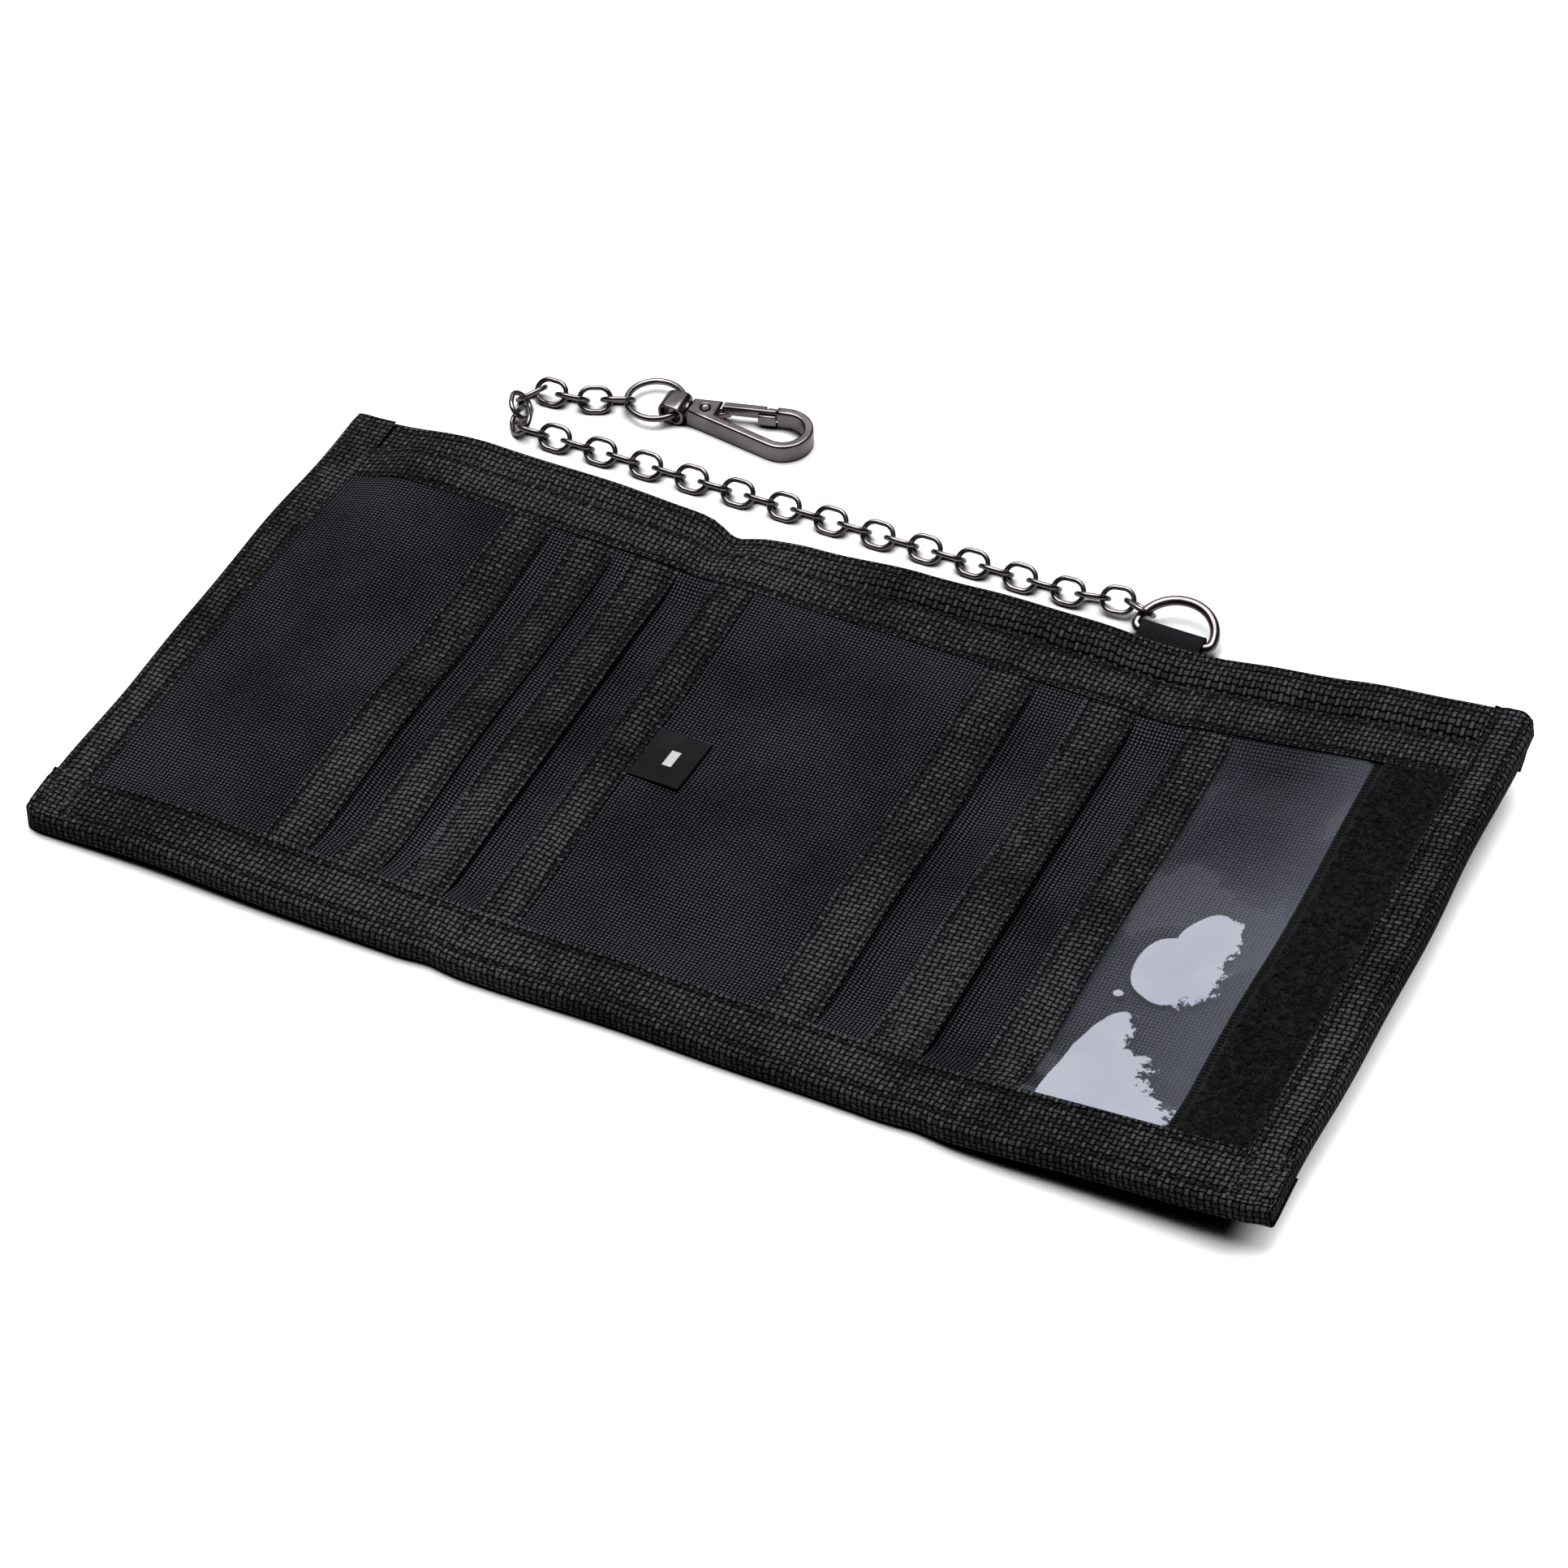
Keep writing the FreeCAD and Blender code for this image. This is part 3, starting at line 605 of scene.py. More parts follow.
SHELL = weave("shell_cloth", 0.5, rgb(0.001, 0.001, 0.001), rgb(0.004, 0.004, 0.0045),
              weft_share=0.7, fleck=0.3, roughness=0.5, sheen=0.01, bump=0.5, shine=0.05)
POCKET = weave("pocket_cloth", 0.72, rgb(0.0003, 0.0003, 0.0005), rgb(0.04, 0.0405, 0.051),
               weft_share=0.7, fleck=0.3, roughness=0.36, sheen=0.01, bump=1.2, tone=0.38, shine=0.06,
               edge=(0.35, 0.95), length=-0.05)
TAPE = weave("woven_tape", 1.18, rgb(0.0002, 0.0002, 0.0002), rgb(0.05, 0.0495, 0.0545),
             weft_share=0.55, fleck=0.75, roughness=0.55, sheen=0.005, bump=1.6, tone=0.5, slub=1.2,
             shine=0.03, edge=(0.3, 0.8), length=0.45)
WEBBING = weave("webbing", 0.45, rgb(0.0015, 0.0015, 0.002), rgb(0.012, 0.012, 0.014),
                weft_share=0.6, fleck=0.5, roughness=0.6, sheen=0.02, bump=0.8, shine=0.06)
SATIN = weave("label_satin", 0.24, rgb(0.0015, 0.0015, 0.0018), rgb(0.008, 0.008, 0.0095),
              weft_share=0.8, fleck=0.3, roughness=0.38, sheen=0.02, bump=0.4, shine=0.08)
MARK = weave("label_mark", 0.3, rgb(0.25, 0.25, 0.255), rgb(0.5, 0.5, 0.51), weft_share=0.8,
             fleck=0.2, roughness=0.55, sheen=0.1, bump=0.5, tone=0.1)
THREAD = thread_material()
GUNMETAL = metal_material("gunmetal", rgb(0.125, 0.11, 0.116), rgb(0.185, 0.165, 0.173), 0.21)
SPRING_STEEL = metal_material("spring_steel", rgb(0.25, 0.24, 0.25), rgb(0.36, 0.35, 0.36), 0.25)
FILM = film_material()
PILE = pile_material()

# ---- bands, shell and lining, cut where the wallet folds ----
LEFT_END = LEFT_FOLD_X - LEFT_REACH
CENTRE_START = LEFT_FOLD_X + LEFT_REACH
CENTRE_END = FOLD_A_X - SPINE_REACH
SPINE_START = FOLD_A_X + SPINE_REACH
SPINE_END = FOLD_B_X - SPINE_REACH
RIGHT_START = FOLD_B_X + SPINE_REACH
SEGMENTS = (("left", -END_X, LEFT_END), ("left_fold", LEFT_END, CENTRE_START),
            ("centre", CENTRE_START, CENTRE_END), ("inner_crease", CENTRE_END, SPINE_START),
            ("spine", SPINE_START, SPINE_END), ("outer_crease", SPINE_END, RIGHT_START),
            ("right", RIGHT_START, END_X))
BODIES = {"left": "left_panel", "centre": "centre_panel", "spine": "spine", "right": "right_panel"}


def x_axis_at(x):
    """The direction in which a rigid panel runs at flat position x, in the row frame."""
    a, b = place(np.array([[x, 0, FOLD_Z], [x + 1e-3, 0, FOLD_Z]], float))
    return Vector((b - a) / np.linalg.norm(b - a))


def attach(obj, segment):
    """Rides a piece on its panel. A piece across a fold rides no panel; only its transform is baked."""
    if segment in BODIES:
        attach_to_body(obj, BODIES[segment])
        return
    parent_x, child_x, parent, child = {
        "left_fold": (CENTRE_START, LEFT_END, "centre_panel", "left_panel"),
        "inner_crease": (CENTRE_END, SPINE_START, "centre_panel", "spine"),
        "outer_crease": (SPINE_END, RIGHT_START, "spine", "right_panel"),
    }[segment]
    outward = 1 if child_x > parent_x else -1
    edges = place(np.array([[parent_x, 0, FOLD_Z], [child_x, 0, FOLD_Z]], float))
    along = x_axis_at(parent_x - 0.2 * outward) * outward
    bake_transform(obj)


def add_piece(cloth, name, material, segment, node=None, transform=to_row):
    """Builds a piece on its panel or across its fold, in place of its CAD node if it has one."""
    piece = cloth.build(name, material, transform=transform)
    attach(piece, segment)
    if node:
        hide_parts(node)


def segment_steps(x0, x1):
    return steps(x0, x1, 0.5 if x1 - x0 < 7 else 2.4)


lining_low, lining_high = flat_box("lining_centre")
NEAR_LINES = (2.6, 10.9)
OUTER_LINES = (1.9, 7.4)
INNER_LINES = (1.3, 8.2)
SHELL_TOP_Z = SHELL_TOP - 0.3
# Each layer's name, section, material, slot, CAD nodes, and inset at the wallet's two ends.
LAYERS = (
    ("near_band", wrap_ring(NEAR_Y, NEAR_BAND_Y, 0.0, TOP_Z, NEAR_LINES), TAPE, "binding_tape",
     "near_binding_", 0.0),
    ("outer_far_band", wrap_ring(FAR_Y, FAR_BAND_Y, 0.0, SHELL_TOP, OUTER_LINES), TAPE, "binding_tape",
     "outer_far_binding_", 0.0),
    ("inner_far_band", wrap_ring(inner_high[1], inner_low[1], inner_low[2], TOP_Z, INNER_LINES), TAPE,
     "binding_tape", "inner_far_binding_", 7.0),
    ("shell", slab_ring(NEAR_Y + 2.2, FAR_Y - 1.0, 0.34, SHELL_TOP_Z), SHELL, "shell_cloth",
     "outer_shell_", 1.2),
    ("lining", slab_ring(lining_low[1], lining_high[1], lining_low[2], lining_high[2]), POCKET,
     "pocket_cloth", "lining_", 1.5),
)

for layer, ring, material, slot, prefix, inset in LAYERS:
    for segment, x0, x1 in SEGMENTS:
        if segment == "left":
            x0 += inset
        if segment == "right":
            x1 -= inset
        node = prefix + segment
        if node not in frame["nodes"]:
            node = "edge_binding_" + segment if segment in BODIES else None
        add_piece(lofted(segment_steps(x0, x1), ring, "x"), layer + "_" + segment, material, segment,
                  node, to_row_under_bands if layer == "lining" else to_row)

SIDE_LINES = (1.6, 6.9)
for side, sign in (("left", -1), ("right", 1)):
    ring = wrap_ring(sign * END_X, sign * SIDE_BAND_X, 0.0, TOP_Z + 0.06, SIDE_LINES)
    stations = steps(NEAR_Y + 1.0, FAR_Y - 0.4, 2.4)
    add_piece(lofted(stations, ring, "y"), "side_band_" + side, TAPE, side,
              "edge_binding_" + side)

# ---- pockets ----
PANEL_Y0 = NEAR_BAND_Y - 1.2
PANEL_Y1 = inner_low[1] + 1.2
PRESS_DEPTH = 0.28
WINDOW_MOUTH = (0.5, 8.0)


def panel_share(y):
    """Where y falls between the near and far bands, 0 to 1."""
    return min(1.0, max(0.0, (y - PANEL_Y0) / (PANEL_Y1 - PANEL_Y0)))


def pressed(_, y):
    """Pocket cloth is pressed down where the bands cross its ends."""
    t = panel_share(y)
    return -PRESS_DEPTH * (1 - min(1.0, min(t, 1 - t) * 12))


def mouth_lift(mouth_x, amount, reach, sign=1):
    """A pocket's mouth stands open between its two sewn ends."""
    def lift(x, y):
        t = panel_share(y)
        bow = math.sin(math.pi * t) ** 0.7 * (0.8 + 0.2 * math.sin(5.1 * t + mouth_x))
        inward = max(0.0, sign * (mouth_x - x))
        return amount * bow * math.exp(-inward / reach) + pressed(x, y)
    return lift


def pocket(panel, sheet_node, tape_node, lift_amount, reach, name):
    """A pocket's cloth and the tape folded over its mouth. Returns the tape's stitch rows."""
    tape_low, tape_high = flat_box(tape_node)
    opens_right = tape_node != "window_tape"
    mouth, inner = (tape_high[0], tape_low[0]) if opens_right else (tape_low[0], tape_high[0])
    lift = mouth_lift(mouth, lift_amount, reach, 1 if opens_right else -1)
    lines = (1.4, abs(mouth - inner) - 1.0)
    ring = wrap_ring(mouth, inner, tape_low[2], tape_high[2], lines, wall=0.3, fineness=0.5)
    add_piece(lofted(steps(PANEL_Y0, PANEL_Y1, 1.6), ring, "y", lift), name + "_tape", TAPE, panel,
              tape_node, to_row_under_bands)
    if sheet_node:
        low, high = flat_box(sheet_node)
        ring = slab_ring(low[0], high[0], low[2], high[2], 1.8)
        sheet_y = steps(PANEL_Y0 - 0.5, PANEL_Y1 + 0.5, 1.6)
        add_piece(lofted(sheet_y, ring, "y", lift), name + "_cloth", POCKET, panel,
                  sheet_node, to_row_under_bands)
    sign = -1 if opens_right else 1
    return [(mouth + sign * u, tape_high[2] + groove(u, lines) + 0.04, lift) for u in lines]


rows = {"left": [], "centre": [], "right": []}
for panel, level, amount, reach in (("left", "lower", 1.0, 9.0), ("left", "middle", 1.0, 9.0),
                                    ("left", "upper", 0.8, 10.0), ("centre", "lower", 1.0, 9.0),
                                    ("centre", "upper", 0.8, 11.0)):
    prefix = panel + "_pocket_"
    rows[panel] += pocket(panel, prefix + level, prefix + "tape_" + level, amount, reach, prefix + level)
rows["right"] += pocket("right", None, "window_tape", *WINDOW_MOUTH, "window")

# The tape that closes the middle pockets' other end.
closed_low, closed_high = flat_box("centre_pocket_closed_tape")
closed_lines = (1.4, closed_high[0] - closed_low[0] - 1.0)
ring = wrap_ring(closed_low[0], closed_high[0], closed_low[2], closed_high[2], closed_lines, wall=0.3,
                 fineness=0.5)
add_piece(lofted(steps(PANEL_Y0, PANEL_Y1, 1.6), ring, "y", pressed), "centre_closed_tape", TAPE,
          "centre", "centre_pocket_closed_tape", to_row_under_bands)
rows["centre"] += [(closed_low[0] + u, closed_high[2] - 0.16, pressed) for u in closed_lines]

# ---- stitching ----
STITCH_SINK = 0.16
CROSS_PITCH = 2.4
X_ROWS = [(NEAR_Y + u, TOP_Z - STITCH_SINK) for u in NEAR_LINES]
X_ROWS += [(FAR_Y - u, SHELL_TOP - STITCH_SINK) for u in OUTER_LINES]
X_ROWS += [(inner_high[1] - u, TOP_Z - STITCH_SINK) for u in INNER_LINES]
CROSS_ROWS = {"left": (LEFT_END - 0.9,), "centre": (CENTRE_START + 0.9, CENTRE_END - 0.7),
              "right": (RIGHT_START + 0.8,)}
for segment, x0, x1 in SEGMENTS:
    cloth = Cloth()
    a = x0 + (4.0 if segment == "left" else 0.0)
    b = x1 - (4.0 if segment == "right" else 0.0)
    for y, z in X_ROWS:
        stitch_row(cloth, (a, y), (b, y), z)
    for x in CROSS_ROWS.get(segment, ()):
        for y0, y1 in ((NEAR_Y + 1.5, NEAR_BAND_Y - 0.8), (inner_low[1] + 0.8, inner_high[1] - 0.8)):
            stitch_row(cloth, (x, y0), (x, y1), TOP_Z - 0.02, pitch=CROSS_PITCH)
    for x, z, lift in rows.get(segment, ()):
        stitch_row(cloth, (x, PANEL_Y0 + 1.0), (x, PANEL_Y1 - 1.0), z, lift)
    if segment in ("left", "right"):
        sign = -1 if segment == "left" else 1
        for u in SIDE_LINES:
            x = sign * (END_X - u)
            stitch_row(cloth, (x, NEAR_Y + 3.0), (x, FAR_Y - 3.0), TOP_Z - 0.1)
    add_piece(cloth, "stitches_" + segment, THREAD, segment)

# ---- label ----
label_low, label_high = flat_box("label_tab")
LABEL_LIFT = 0.55
MARK_HALF_X = 0.9
MARK_HALF_Y = 2.2


def label_lift(x, _):
    return LABEL_LIFT * smooth((x - label_low[0]) / (label_high[0] - label_low[0]))


ring = wrap_ring(label_high[0], label_low[0], label_low[2] - 0.1, label_high[2] + 0.05, (), wall=0.16,
                 fineness=0.8)
add_piece(lofted(steps(label_low[1], label_high[1], 1.0), ring, "y", label_lift), "label_tab_cloth",
          SATIN, "centre", "label_tab")
label_x = (label_low[0] + label_high[0]) / 2 + 0.4
label_y = (label_low[1] + label_high[1]) / 2
ring = slab_ring(label_x - MARK_HALF_X, label_x + MARK_HALF_X, label_high[2] - 0.05, label_high[2] + 0.12,
                 0.6)
stations = steps(label_y - MARK_HALF_Y, label_y + MARK_HALF_Y, 0.6)
add_piece(lofted(stations, ring, "y", label_lift), "label_bar", MARK, "centre")

# ---- clear window ----
window_low, window_high = flat_box("clear_window")
window_tape_high = flat_box("window_tape")[1]
window_mouth = mouth_lift(flat_box("window_tape")[0][0], *WINDOW_MOUTH, -1)
FILM_CALM_X = 97


def film_lift(x, y):
    ripple = 0.16 * math.sin(x / 3.1 + 0.05 * y) * math.sin(y / 7.0 + 0.4)
    ripple += 0.14 * math.sin(y / 4.3 + x / 9.0)
    return window_mouth(x, y) + ripple * smooth((x - window_tape_high[0]) / 4) * smooth((FILM_CALM_X - x) / 4)


ring = slab_ring(window_low[0], window_high[0] - 5, window_low[2], window_high[2], 1.2)
points, faces, _ = loft(steps(PANEL_Y0 - 0.5, PANEL_Y1 + 0.5, 1.4), ring, "y", film_lift)
add_piece(Cloth().add(points, faces), "window_film", FILM, "right",
          "clear_window", to_row_under_bands)

# ---- hook-and-loop ----
loop_low, loop_high = flat_box("loop_strip")
PILE_X0 = loop_low[0] + 2.0
PILE_X1 = SIDE_BAND_X - 0.1
pile_z = loop_high[2] - 0.45
ring = slab_ring(loop_low[0], loop_high[0], loop_low[2], loop_low[2] + 0.3, 1.0)
base = lofted(steps(PANEL_Y0, PANEL_Y1, 1.2), ring, "y")
for y in steps(PANEL_Y0 + 1, PANEL_Y1 - 1, 0.75):
    stitch(base, loop_low[0] + 0.75, y, loop_low[2] + 0.34, (1.0, 0.0), length=1.3, width=0.42, height=0.3)
add_piece(base, "loop_strip_selvedge", WEBBING, "right", "loop_strip")


def tube(cloth, path, radius, sides=3):
    """A thin thread along a path of points."""
    points = []
    for i, p in enumerate(path):
        before, after = Vector(path[max(i - 1, 0)]), Vector(path[min(i + 1, len(path) - 1)])
        along = (after - before).normalized()
        side = along.cross(Vector((0.31, 0.17, 0.93))).normalized()
        up = side.cross(along)
        for k in range(sides):
            a = 2 * math.pi * k / sides
            q = Vector(p) + (side * math.cos(a) + up * math.sin(a)) * radius
            points.append(tuple(q))
    uvs = [[p[:2], p[:2], q[:2], q[:2]] for p, q in zip(path, path[1:]) for _ in range(sides)]
    uvs += [[path[0][:2]] * sides, [path[-1][:2]] * sides]
    cloth.add(points, ring_faces(len(path), sides), uvs)


pile = Cloth()
xs = steps(PILE_X0, PILE_X1, 0.5)
pile_ring = [(a, loop_low[2] + 0.28) for a in xs] + [(a, pile_z) for a in reversed(xs)]
points, faces, uvs = loft(steps(PANEL_Y0, PANEL_Y1, 0.55), pile_ring, "y")
points = [(x, y, z + (0.3 * rng.random() - 0.1 if z > loop_low[2] + 0.5 else 0.0)) for x, y, z in points]
pile.add(points, faces, uvs)
LOOP_COUNT = 3600
THREAD_R = 0.07
for _ in range(LOOP_COUNT):
    cx = random.uniform(PILE_X0 + 0.3, PILE_X1 - 0.3)
    cy = random.uniform(PANEL_Y0 + 0.5, PANEL_Y1 - 0.5)
    turn = random.uniform(0, math.pi)
    span = random.uniform(0.35, 0.8)
    rise = random.uniform(0.25, 0.6)
    arc = []
    for k in range(6):
        a = math.pi * k / 5
        arc.append((cx - math.cos(a) * span * math.cos(turn), cy - math.cos(a) * span * math.sin(turn),
                    pile_z + math.sin(a) * rise))
    tube(pile, arc, THREAD_R)
add_piece(pile, "loop_pile", PILE, "right")

hook_low, hook_high = flat_box("hook_strip")
ring = slab_ring(hook_low[0], hook_high[0], hook_high[2] - 0.3, hook_high[2] + 0.25)
hooks = lofted(steps(hook_low[1], hook_high[1], 2.0), ring, "y")
for x in steps(hook_low[0] + 0.8, hook_high[0] - 0.8, 1.15):
    for y in steps(hook_low[1] + 0.8, hook_high[1] - 0.8, 1.5):
        z = hook_high[2] - 0.28
        bend = ((0, 0), (0, -0.2), (0.12, -0.34), (0.32, -0.3), (0.36, -0.2))
        tube(hooks, [(x + dx, y, z + dz) for dx, dz in bend], THREAD_R)
add_piece(hooks, "hook_strip_nylon", WEBBING, "left", "hook_strip")

# ---- webbing tab that holds the D-ring ----
tab_low, tab_high = [Vector(c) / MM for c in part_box("chain_tab")]
bar_y, bar_z = joint_point("d_ring_tilt")[1:]
TAB_T = 0.75
LOOP_R = tab_high.y - bar_y - TAB_T / 2
path = [(tab_low.y + 0.5, 0.75), (62.0, 0.8), (bar_y - 3.0, 0.85), (bar_y - 1.2, 0.95)]
path += [(bar_y + LOOP_R * math.cos(a), bar_z + LOOP_R * math.sin(a)) for a in np.linspace(-1.75, 1.9, 12)]
path += [(bar_y - 1.9, bar_z + 0.75), (bar_y - 3.4, 2.05), (bar_y - 5.0, 1.75)]
outer, inner = [], []
for i, p in enumerate(path):
    a, b = path[max(i - 1, 0)], path[min(i + 1, len(path) - 1)]
    length = math.dist(a, b)
    ny, nz = (b[1] - a[1]) / length, -(b[0] - a[0]) / length
    outer.append((p[0] + ny * TAB_T / 2, p[1] + nz * TAB_T / 2))
    inner.append((p[0] - ny * TAB_T / 2, p[1] - nz * TAB_T / 2))
tab = lofted(steps(tab_low.x, tab_high.x, 1.0), outer + inner[::-1], "x")
for x in steps(tab_low.x + 0.9, tab_high.x - 0.9, 1.6):
    stitch(tab, x, bar_y - 3.6, 2.42, (1.0, 0.0), length=1.3)
add_piece(tab, "webbing_tab", WEBBING, "centre", "chain_tab", lambda p: np.asarray(p, float) * MM)

# ---- snap hook and swivel, drawn along +X from the swivel's face, z up from the hook's underside ----
hook_x, hook_y, swivel_z = joint_point("hook_swivel")
HOOK_AXIS = JOINTS["hook_swivel"]["axis"]
HOOK_BASE_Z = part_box("hook_body")[0][2] / MM
SWIVEL_Z = swivel_z - HOOK_BASE_Z
PIVOT_X = math.dist(joint_point("hook_swivel")[:2], joint_point("gate_hinge")[:2])
HOOK_T = 3.95
END_R = 5.85
SIDE_ANGLE = math.radians(11.65)
END_CENTRE_X = 19.3
BAR = 1.9
GATE_R = 13.8
LIP_R = 12.2
LIP_T = 0.62


def hook_to_row(points):
    p = np.asarray(points, float)
    x = hook_x + p[:, 0] * HOOK_AXIS[0] - p[:, 1] * HOOK_AXIS[1]
    y = hook_y + p[:, 0] * HOOK_AXIS[1] + p[:, 1] * HOOK_AXIS[0]
    return np.stack([x, y, HOOK_BASE_Z + p[:, 2]], 1) * MM


def side_line(x, inset):
    """Half the hook's width at x, drawn in by inset."""
    r = END_R - inset
    return r * math.cos(SIDE_ANGLE) - (END_CENTRE_X - r * math.sin(SIDE_ANGLE) - x) * math.tan(SIDE_ANGLE)


def round_end(inset, count=22):
    """The hook's round end, from its near side to its far side."""
    r = END_R - inset
    start = math.pi / 2 + SIDE_ANGLE
    angles = [(-start + 2 * start * i / count) for i in range(count + 1)]
    return [(END_CENTRE_X + r * math.cos(a), r * math.sin(a)) for a in angles]


def at_radius(distance, inset):
    """The point of the far side line that is a distance from the gate's pivot."""
    x = PIVOT_X + distance
    for _ in range(20):
        x = PIVOT_X + math.sqrt(distance ** 2 - side_line(x, inset) ** 2)
    return x, side_line(x, inset)


def drawn_in(outline, amount):
    """The outline moved inwards by an amount."""
    moved = []
    for i, b in enumerate(outline):
        a, c = outline[i - 1], outline[(i + 1) % len(outline)]
        ab, bc = math.dist(a, b), math.dist(b, c)
        n1 = (-(b[1] - a[1]) / ab, (b[0] - a[0]) / ab)
        n2 = (-(c[1] - b[1]) / bc, (c[0] - b[0]) / bc)
        share = amount / max(0.4, 1 + n1[0] * n2[0] + n1[1] * n2[1])
        moved.append((b[0] + (n1[0] + n2[0]) * share, b[1] + (n1[1] + n2[1]) * share))
    return moved


def plate(cloth, outline, z0, z1, low=0.0, high=0.0, segments=4):
    """A flat piece with its lower and upper edges rounded by low and high."""
    levels = [(0.0, z0), (0.0, z1)]
    turns = [(math.sin(a), math.cos(a)) for a in np.linspace(0, math.pi / 2, segments + 1)]
    if low:
        levels[:1] = [(low + 0.04, z0)] + [(low * (1 - s), z0 + low * (1 - c)) for s, c in turns]
    if high:
        levels[-1:] = [(high * (1 - c), z1 - high * (1 - s)) for s, c in turns] + [(high + 0.04, z1)]
    points = [(x, y, z) for inset, z in levels for x, y in drawn_in(outline, inset)]
    faces = ring_faces(len(levels), len(outline))
    cloth.add(points, faces)


def lathe(cloth, profile, centre, axis="z", segments=36):
    """A turned piece from (radius, height) pairs."""
    points = []
    for r, h in profile:
        for k in range(segments):
            a = 2 * math.pi * k / segments
            u, v = r * math.cos(a), r * math.sin(a)
            spun = (u, v, h) if axis == "z" else (h, u, v)
            points.append(tuple(c + d for c, d in zip(centre, spun)))
    faces = ring_faces(len(profile), segments)
    cloth.add(points, faces)


def metal_piece(cloth, name, body, node):
    piece = cloth.build(name, GUNMETAL, sharp=50, transform=hook_to_row)
    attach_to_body(piece, body)
    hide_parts(node)


BASE_X = 5.6
WEB_Y = -1.45
SLOT_Z0, SLOT_Z1 = 1.1, 3.2
nose = [at_radius(GATE_R + 0.15, 0.0), at_radius(GATE_R + 0.15, BAR)]
arm_and_end = [(0.0, -side_line(0, 0))] + [(x, -side_line(x, 0)) for x in (4.0, 9.0, 14.0)] + round_end(0.0)
inner_edge = list(reversed(round_end(BAR))) + [(x, -side_line(x, BAR)) for x in (14.0, 9.0, BASE_X)]
full = arm_and_end + nose + inner_edge
full += [(BASE_X, side_line(BASE_X, 0)), (3.0, side_line(3.0, 0)), (0.0, side_line(0, 0))]
slotted = arm_and_end + nose + inner_edge
slotted += [(BASE_X, WEB_Y), (0.9, WEB_Y), (0.9, side_line(0.9, 0)), (0.0, side_line(0, 0))]
EDGE_R = 0.5
body = Cloth()
plate(body, full, 0.0, SLOT_Z0, low=EDGE_R)
plate(body, slotted, SLOT_Z0, SLOT_Z1)
plate(body, full, SLOT_Z1, HOOK_T, high=EDGE_R)
lip_start, lip_end = at_radius(LIP_R, 0.0), at_radius(GATE_R + 0.6, 0.0)
lip = [at_radius(LIP_R, LIP_T), at_radius(GATE_R + 0.6, LIP_T), lip_end, lip_start]
plate(body, lip, 0.55, HOOK_T - 0.55, low=0.2, high=0.2, segments=3)
metal_piece(body, "hook_frame", "snap_hook", "hook_body")

gate = Cloth()
tip_out = at_radius(GATE_R, LIP_T + 0.15)
step_out = at_radius(LIP_R - 0.2, LIP_T + 0.15)
bar = [(BASE_X + 0.35, side_line(BASE_X + 0.35, BAR - 0.1)), at_radius(GATE_R, BAR - 0.1), tip_out, step_out,
       at_radius(LIP_R - 0.2, 0.1), (BASE_X + 0.35, side_line(BASE_X + 0.35, 0.1))]
plate(gate, bar, 1.75, HOOK_T - 0.02, low=0.25, high=0.4)
tip = [at_radius(10.2, BAR + 0.55), at_radius(GATE_R - 0.15, BAR + 0.55), at_radius(GATE_R - 0.15, BAR - 0.6),
       at_radius(10.2, BAR - 0.6)]
plate(gate, tip, 0.75, HOOK_T - 0.85, low=0.25, high=0.25)
LUG_ANGLE, LUG_LENGTH, LUG_HALF = math.radians(32), 4.9, 0.8
cosine, sine = math.cos(LUG_ANGLE), math.sin(LUG_ANGLE)
lug = [(PIVOT_X + d * cosine - w * sine, d * sine + w * cosine)
       for d, w in ((0, -LUG_HALF), (LUG_LENGTH, -LUG_HALF), (LUG_LENGTH, LUG_HALF), (0, LUG_HALF))]
plate(gate, lug, 1.25, 2.5, low=0.15, high=0.15, segments=2)
lathe(gate, [(0.7, 1.2), (1.3, 1.25), (1.3, 2.45), (0.7, 2.5)], (PIVOT_X, 0.0, 0.0))
metal_piece(gate, "hook_gate_bar", "gate", "hook_gate")

rivet = Cloth()
RIVET_HEAD = ((0.55, 0.0), (1.05, -0.02), (1.18, 0.1), (1.15, 0.27), (1.0, 0.36), (0.84, 0.3), (0.72, 0.1),
              (0.5, 0.04), (0.12, 0.03))
lathe(rivet, [(0.5, 0.1), (0.55, 0.2)] + [(r, HOOK_T + h) for r, h in RIVET_HEAD], (PIVOT_X, 0.0, 0.0))
metal_piece(rivet, "hook_rivet", "snap_hook", "gate_rivet")

EYE_X0, EYE_X1, EYE_Z0, EYE_Z1 = -5.9, -0.55, 0.1, 4.25
EYE_R, EYE_WALL, EYE_HALF, EYE_ROUND = 1.7, 0.62, 2.75, 0.22
loop = []
for cx, cz, start in ((EYE_X1 - EYE_R, EYE_Z0 + EYE_R, -0.5), (EYE_X1 - EYE_R, EYE_Z1 - EYE_R, 0.0),
                      (EYE_X0 + EYE_R, EYE_Z1 - EYE_R, 0.5), (EYE_X0 + EYE_R, EYE_Z0 + EYE_R, 1.0)):
    for k in range(8):
        a = math.pi * (start + 0.5 * k / 7)
        loop.append((cx + EYE_R * math.cos(a), cz + EYE_R * math.sin(a), math.cos(a), math.sin(a)))
section = []
for sy, so, start in ((1, 0, 0.0), (1, -1, 1.5), (-1, -1, 1.0), (-1, 0, 0.5)):
    for k in range(4):
        a = math.pi * (start + (0.5 - 0.5 * k / 3))
        section.append((so * (EYE_WALL - 2 * EYE_ROUND) - EYE_ROUND + EYE_ROUND * math.sin(a),
                        sy * (EYE_HALF - EYE_ROUND) + EYE_ROUND * math.cos(a)))
points, faces = [], []
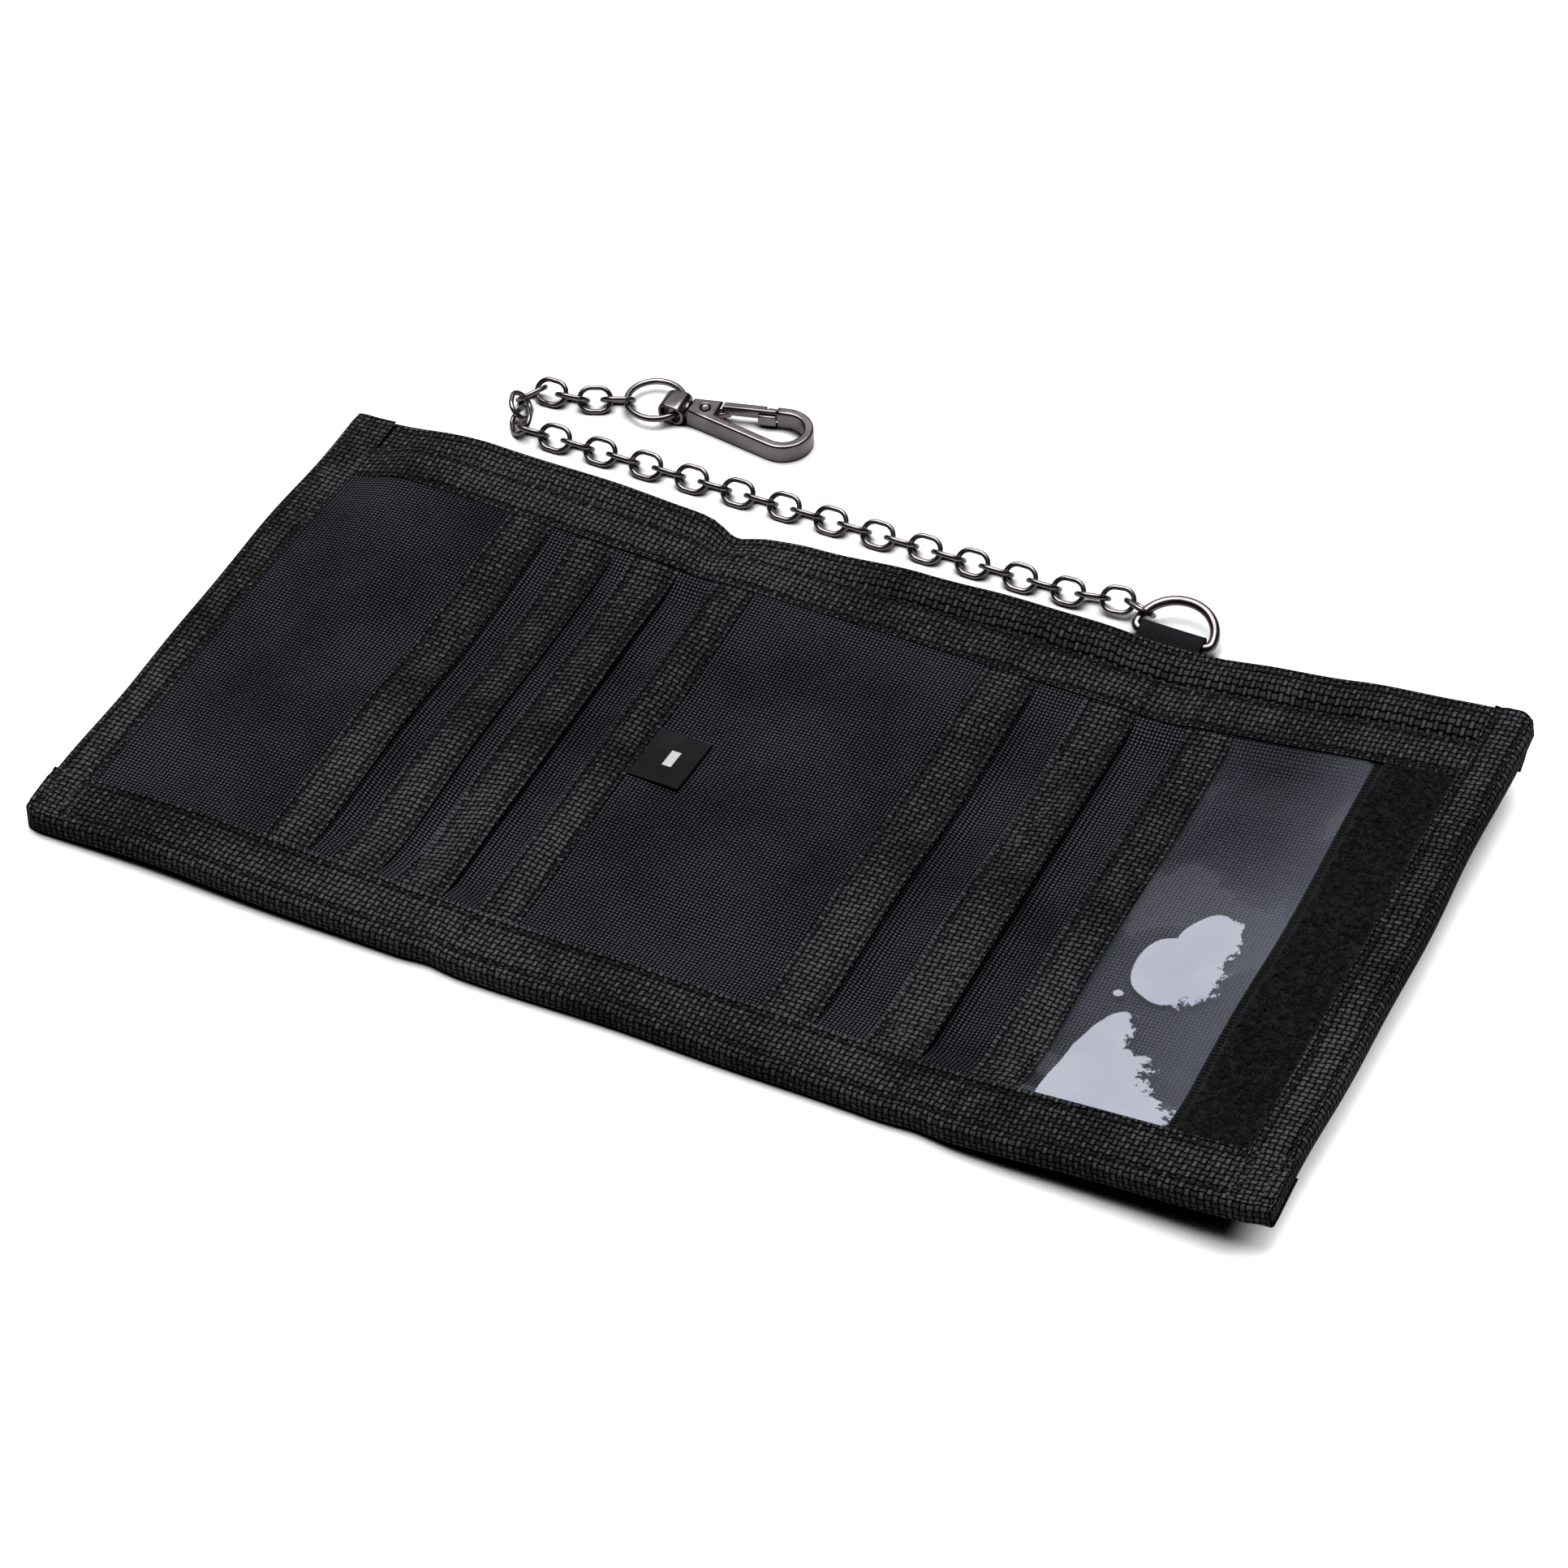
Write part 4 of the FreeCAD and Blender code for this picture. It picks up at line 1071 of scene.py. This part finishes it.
for x, z, nx, nz in loop:
    narrow = 1.0 - 0.14 * smooth((EYE_X1 - 1.0 - x) / 4.0)
    points += [(x + nx * o, y * narrow, z + nz * o) for o, y in section]
m, n = len(section), len(loop)
for i in range(n):
    for j in range(m):
        faces.append((i * m + j, i * m + (j + 1) % m, ((i + 1) % n) * m + (j + 1) % m, ((i + 1) % n) * m + j))
eye = Cloth().add(points, faces)
COLLAR = ((0.7, -1.0), (1.75, -0.7), (1.9, -0.6), (1.9, -0.5), (1.72, -0.44), (1.72, -0.36), (1.9, -0.3),
          (1.9, -0.2), (1.75, -0.12), (0.75, -0.08), (0.72, 0.6), (0.6, 0.62))
lathe(eye, COLLAR, (0.0, 0.0, SWIVEL_Z), axis="x")
metal_piece(eye, "swivel_stirrup", "swivel_eye", "swivel_eye")

# ---- rings, chain and spring, kept from CAD ----
for name, obj in frame["nodes"].items():
    if not obj.hide_render:
        for s in obj.material_slots:
            s.material = SPRING_STEEL if name == "gate_spring" else GUNMETAL

# ---- floor, light and camera ----
floor_mesh = bpy.data.meshes.new("floor")
FLOOR_HALF = 6.0
corners = [(FLOOR_HALF * x, FLOOR_HALF * y, 0) for x, y in ((-1, -1), (1, -1), (1, 1), (-1, 1))]
floor_mesh.from_pydata(corners, [], [(0, 1, 2, 3)])
floor = bpy.data.objects.new("floor", floor_mesh)
bpy.context.scene.collection.objects.link(floor)
# The camera sees a floor that glows white far off and right of the wallet (there the glow is painted light
# that covers the wallet's own shadow), with a painted shadow, near black, where a raised panel overhangs it.
# Other rays see plain grey, so it doesn't throw too much light back up.
WHITE_FROM, WHITE_BY = 0.35, 1.2
RIGHT_OF_WALLET = (0.112, 0.124)
OVERHANG_REACH = 0.025
g = Graph("white_floor")
seen = g.node("ShaderNodeLightPath").outputs["Is Camera Ray"]
spot = g.node("ShaderNodeTexCoord").outputs["Object"]
distance = g.node("ShaderNodeVectorMath", {0: spot}, operation="LENGTH").outputs["Value"]
across = g.x_and_y(spot)[0]
fade = g.math("MAXIMUM", g.ramp(distance, WHITE_FROM, WHITE_BY), g.ramp(across, *RIGHT_OF_WALLET, 0.0, 0.8))
# Painted shadow: the floor is coloured near black where little open sky is within reach, under a raised
# panel.
open_sky = g.node("ShaderNodeAmbientOcclusion", {"Distance": OVERHANG_REACH}, samples=16).outputs["AO"]
ground_and_painted_shadow = g.mix(g.ramp(open_sky, 0.4, 0.5), rgb(0.012, 0.009, 0.01), rgb(0.93, 0.93, 0.93))
g.principled({"Base Color": g.mix(seen, rgb(0.55, 0.55, 0.55), ground_and_painted_shadow), "Roughness": 0.9,
              "Specular IOR Level": 0.0, "Emission Color": rgb(1, 1, 1),
              "Emission Strength": g.times(fade, seen)})
floor_mesh.materials.append(g.material)

world = bpy.data.worlds.new("studio")
bpy.context.scene.world = world
world.use_nodes = True
tree = world.node_tree
tree.nodes.clear()
out = tree.nodes.new("ShaderNodeOutputWorld")
room = tree.nodes.new("ShaderNodeBackground")
room.inputs["Strength"].default_value = 0.06
backdrop = tree.nodes.new("ShaderNodeBackground")
backdrop.inputs["Color"].default_value = rgb(1, 1, 1)
ray = tree.nodes.new("ShaderNodeLightPath")
pick = tree.nodes.new("ShaderNodeMixShader")
for source, socket in ((ray.outputs["Is Camera Ray"], pick.inputs[0]), (room.outputs[0], pick.inputs[1]),
                       (backdrop.outputs[0], pick.inputs[2]), (pick.outputs[0], out.inputs[0])):
    tree.links.new(source, socket)


def softbox(name, azimuth, elevation, distance, size, power):
    """A rectangular lamp aimed at the origin. Azimuth 0 is on the near side, 90 on the right."""
    light = bpy.data.lights.new(name, "AREA")
    light.shape = "RECTANGLE"
    light.size, light.size_y = size
    light.energy = power
    obj = bpy.data.objects.new(name, light)
    a, e = math.radians(azimuth), math.radians(elevation)
    back = Vector((math.sin(a) * math.cos(e), -math.cos(a) * math.cos(e), math.sin(e)))
    obj.location = back * distance
    obj.rotation_mode = "QUATERNION"
    obj.rotation_quaternion = (-back).to_track_quat("-Z", "Y")
    bpy.context.scene.collection.objects.link(obj)


softbox("overhead", azimuth=222, elevation=76, distance=1.5, size=(1.5, 1.25), power=47)
softbox("back", azimuth=206, elevation=42, distance=1.7, size=(1.7, 1.0), power=5.5)

CAMERA_AZIMUTH = 27.188
CAMERA_ELEVATION = 44.417
CAMERA_ROLL = -1.734
CAMERA_LENS = 135.04
CAMERA_OFFSET = (-1.113, 3.650, 1056.447)
SENSOR_WIDTH = 36.0
CLIP_RANGE = (0.05, 30.0)
az, el, roll = (math.radians(v) for v in (CAMERA_AZIMUTH, CAMERA_ELEVATION, CAMERA_ROLL))
back = Vector((math.sin(az) * math.cos(el), -math.cos(az) * math.cos(el), math.sin(el)))
right = Vector((math.cos(az), math.sin(az), 0))
up = back.cross(right)
image_right = right * math.cos(roll) + up * math.sin(roll)
image_up = up * math.cos(roll) - right * math.sin(roll)
camera = bpy.data.objects.new("camera", bpy.data.cameras.new("camera"))
camera.data.lens = CAMERA_LENS
camera.data.sensor_width = SENSOR_WIDTH
camera.data.clip_start, camera.data.clip_end = CLIP_RANGE
position = -(image_right * CAMERA_OFFSET[0] - image_up * CAMERA_OFFSET[1] - back * CAMERA_OFFSET[2]) * MM
axes = Matrix((image_right, image_up, back)).transposed()
camera.matrix_world = Matrix.Translation(position) @ axes.to_4x4()
bpy.context.scene.collection.objects.link(camera)
bpy.context.scene.camera = camera
bpy.context.scene.view_settings.view_transform = "Standard"
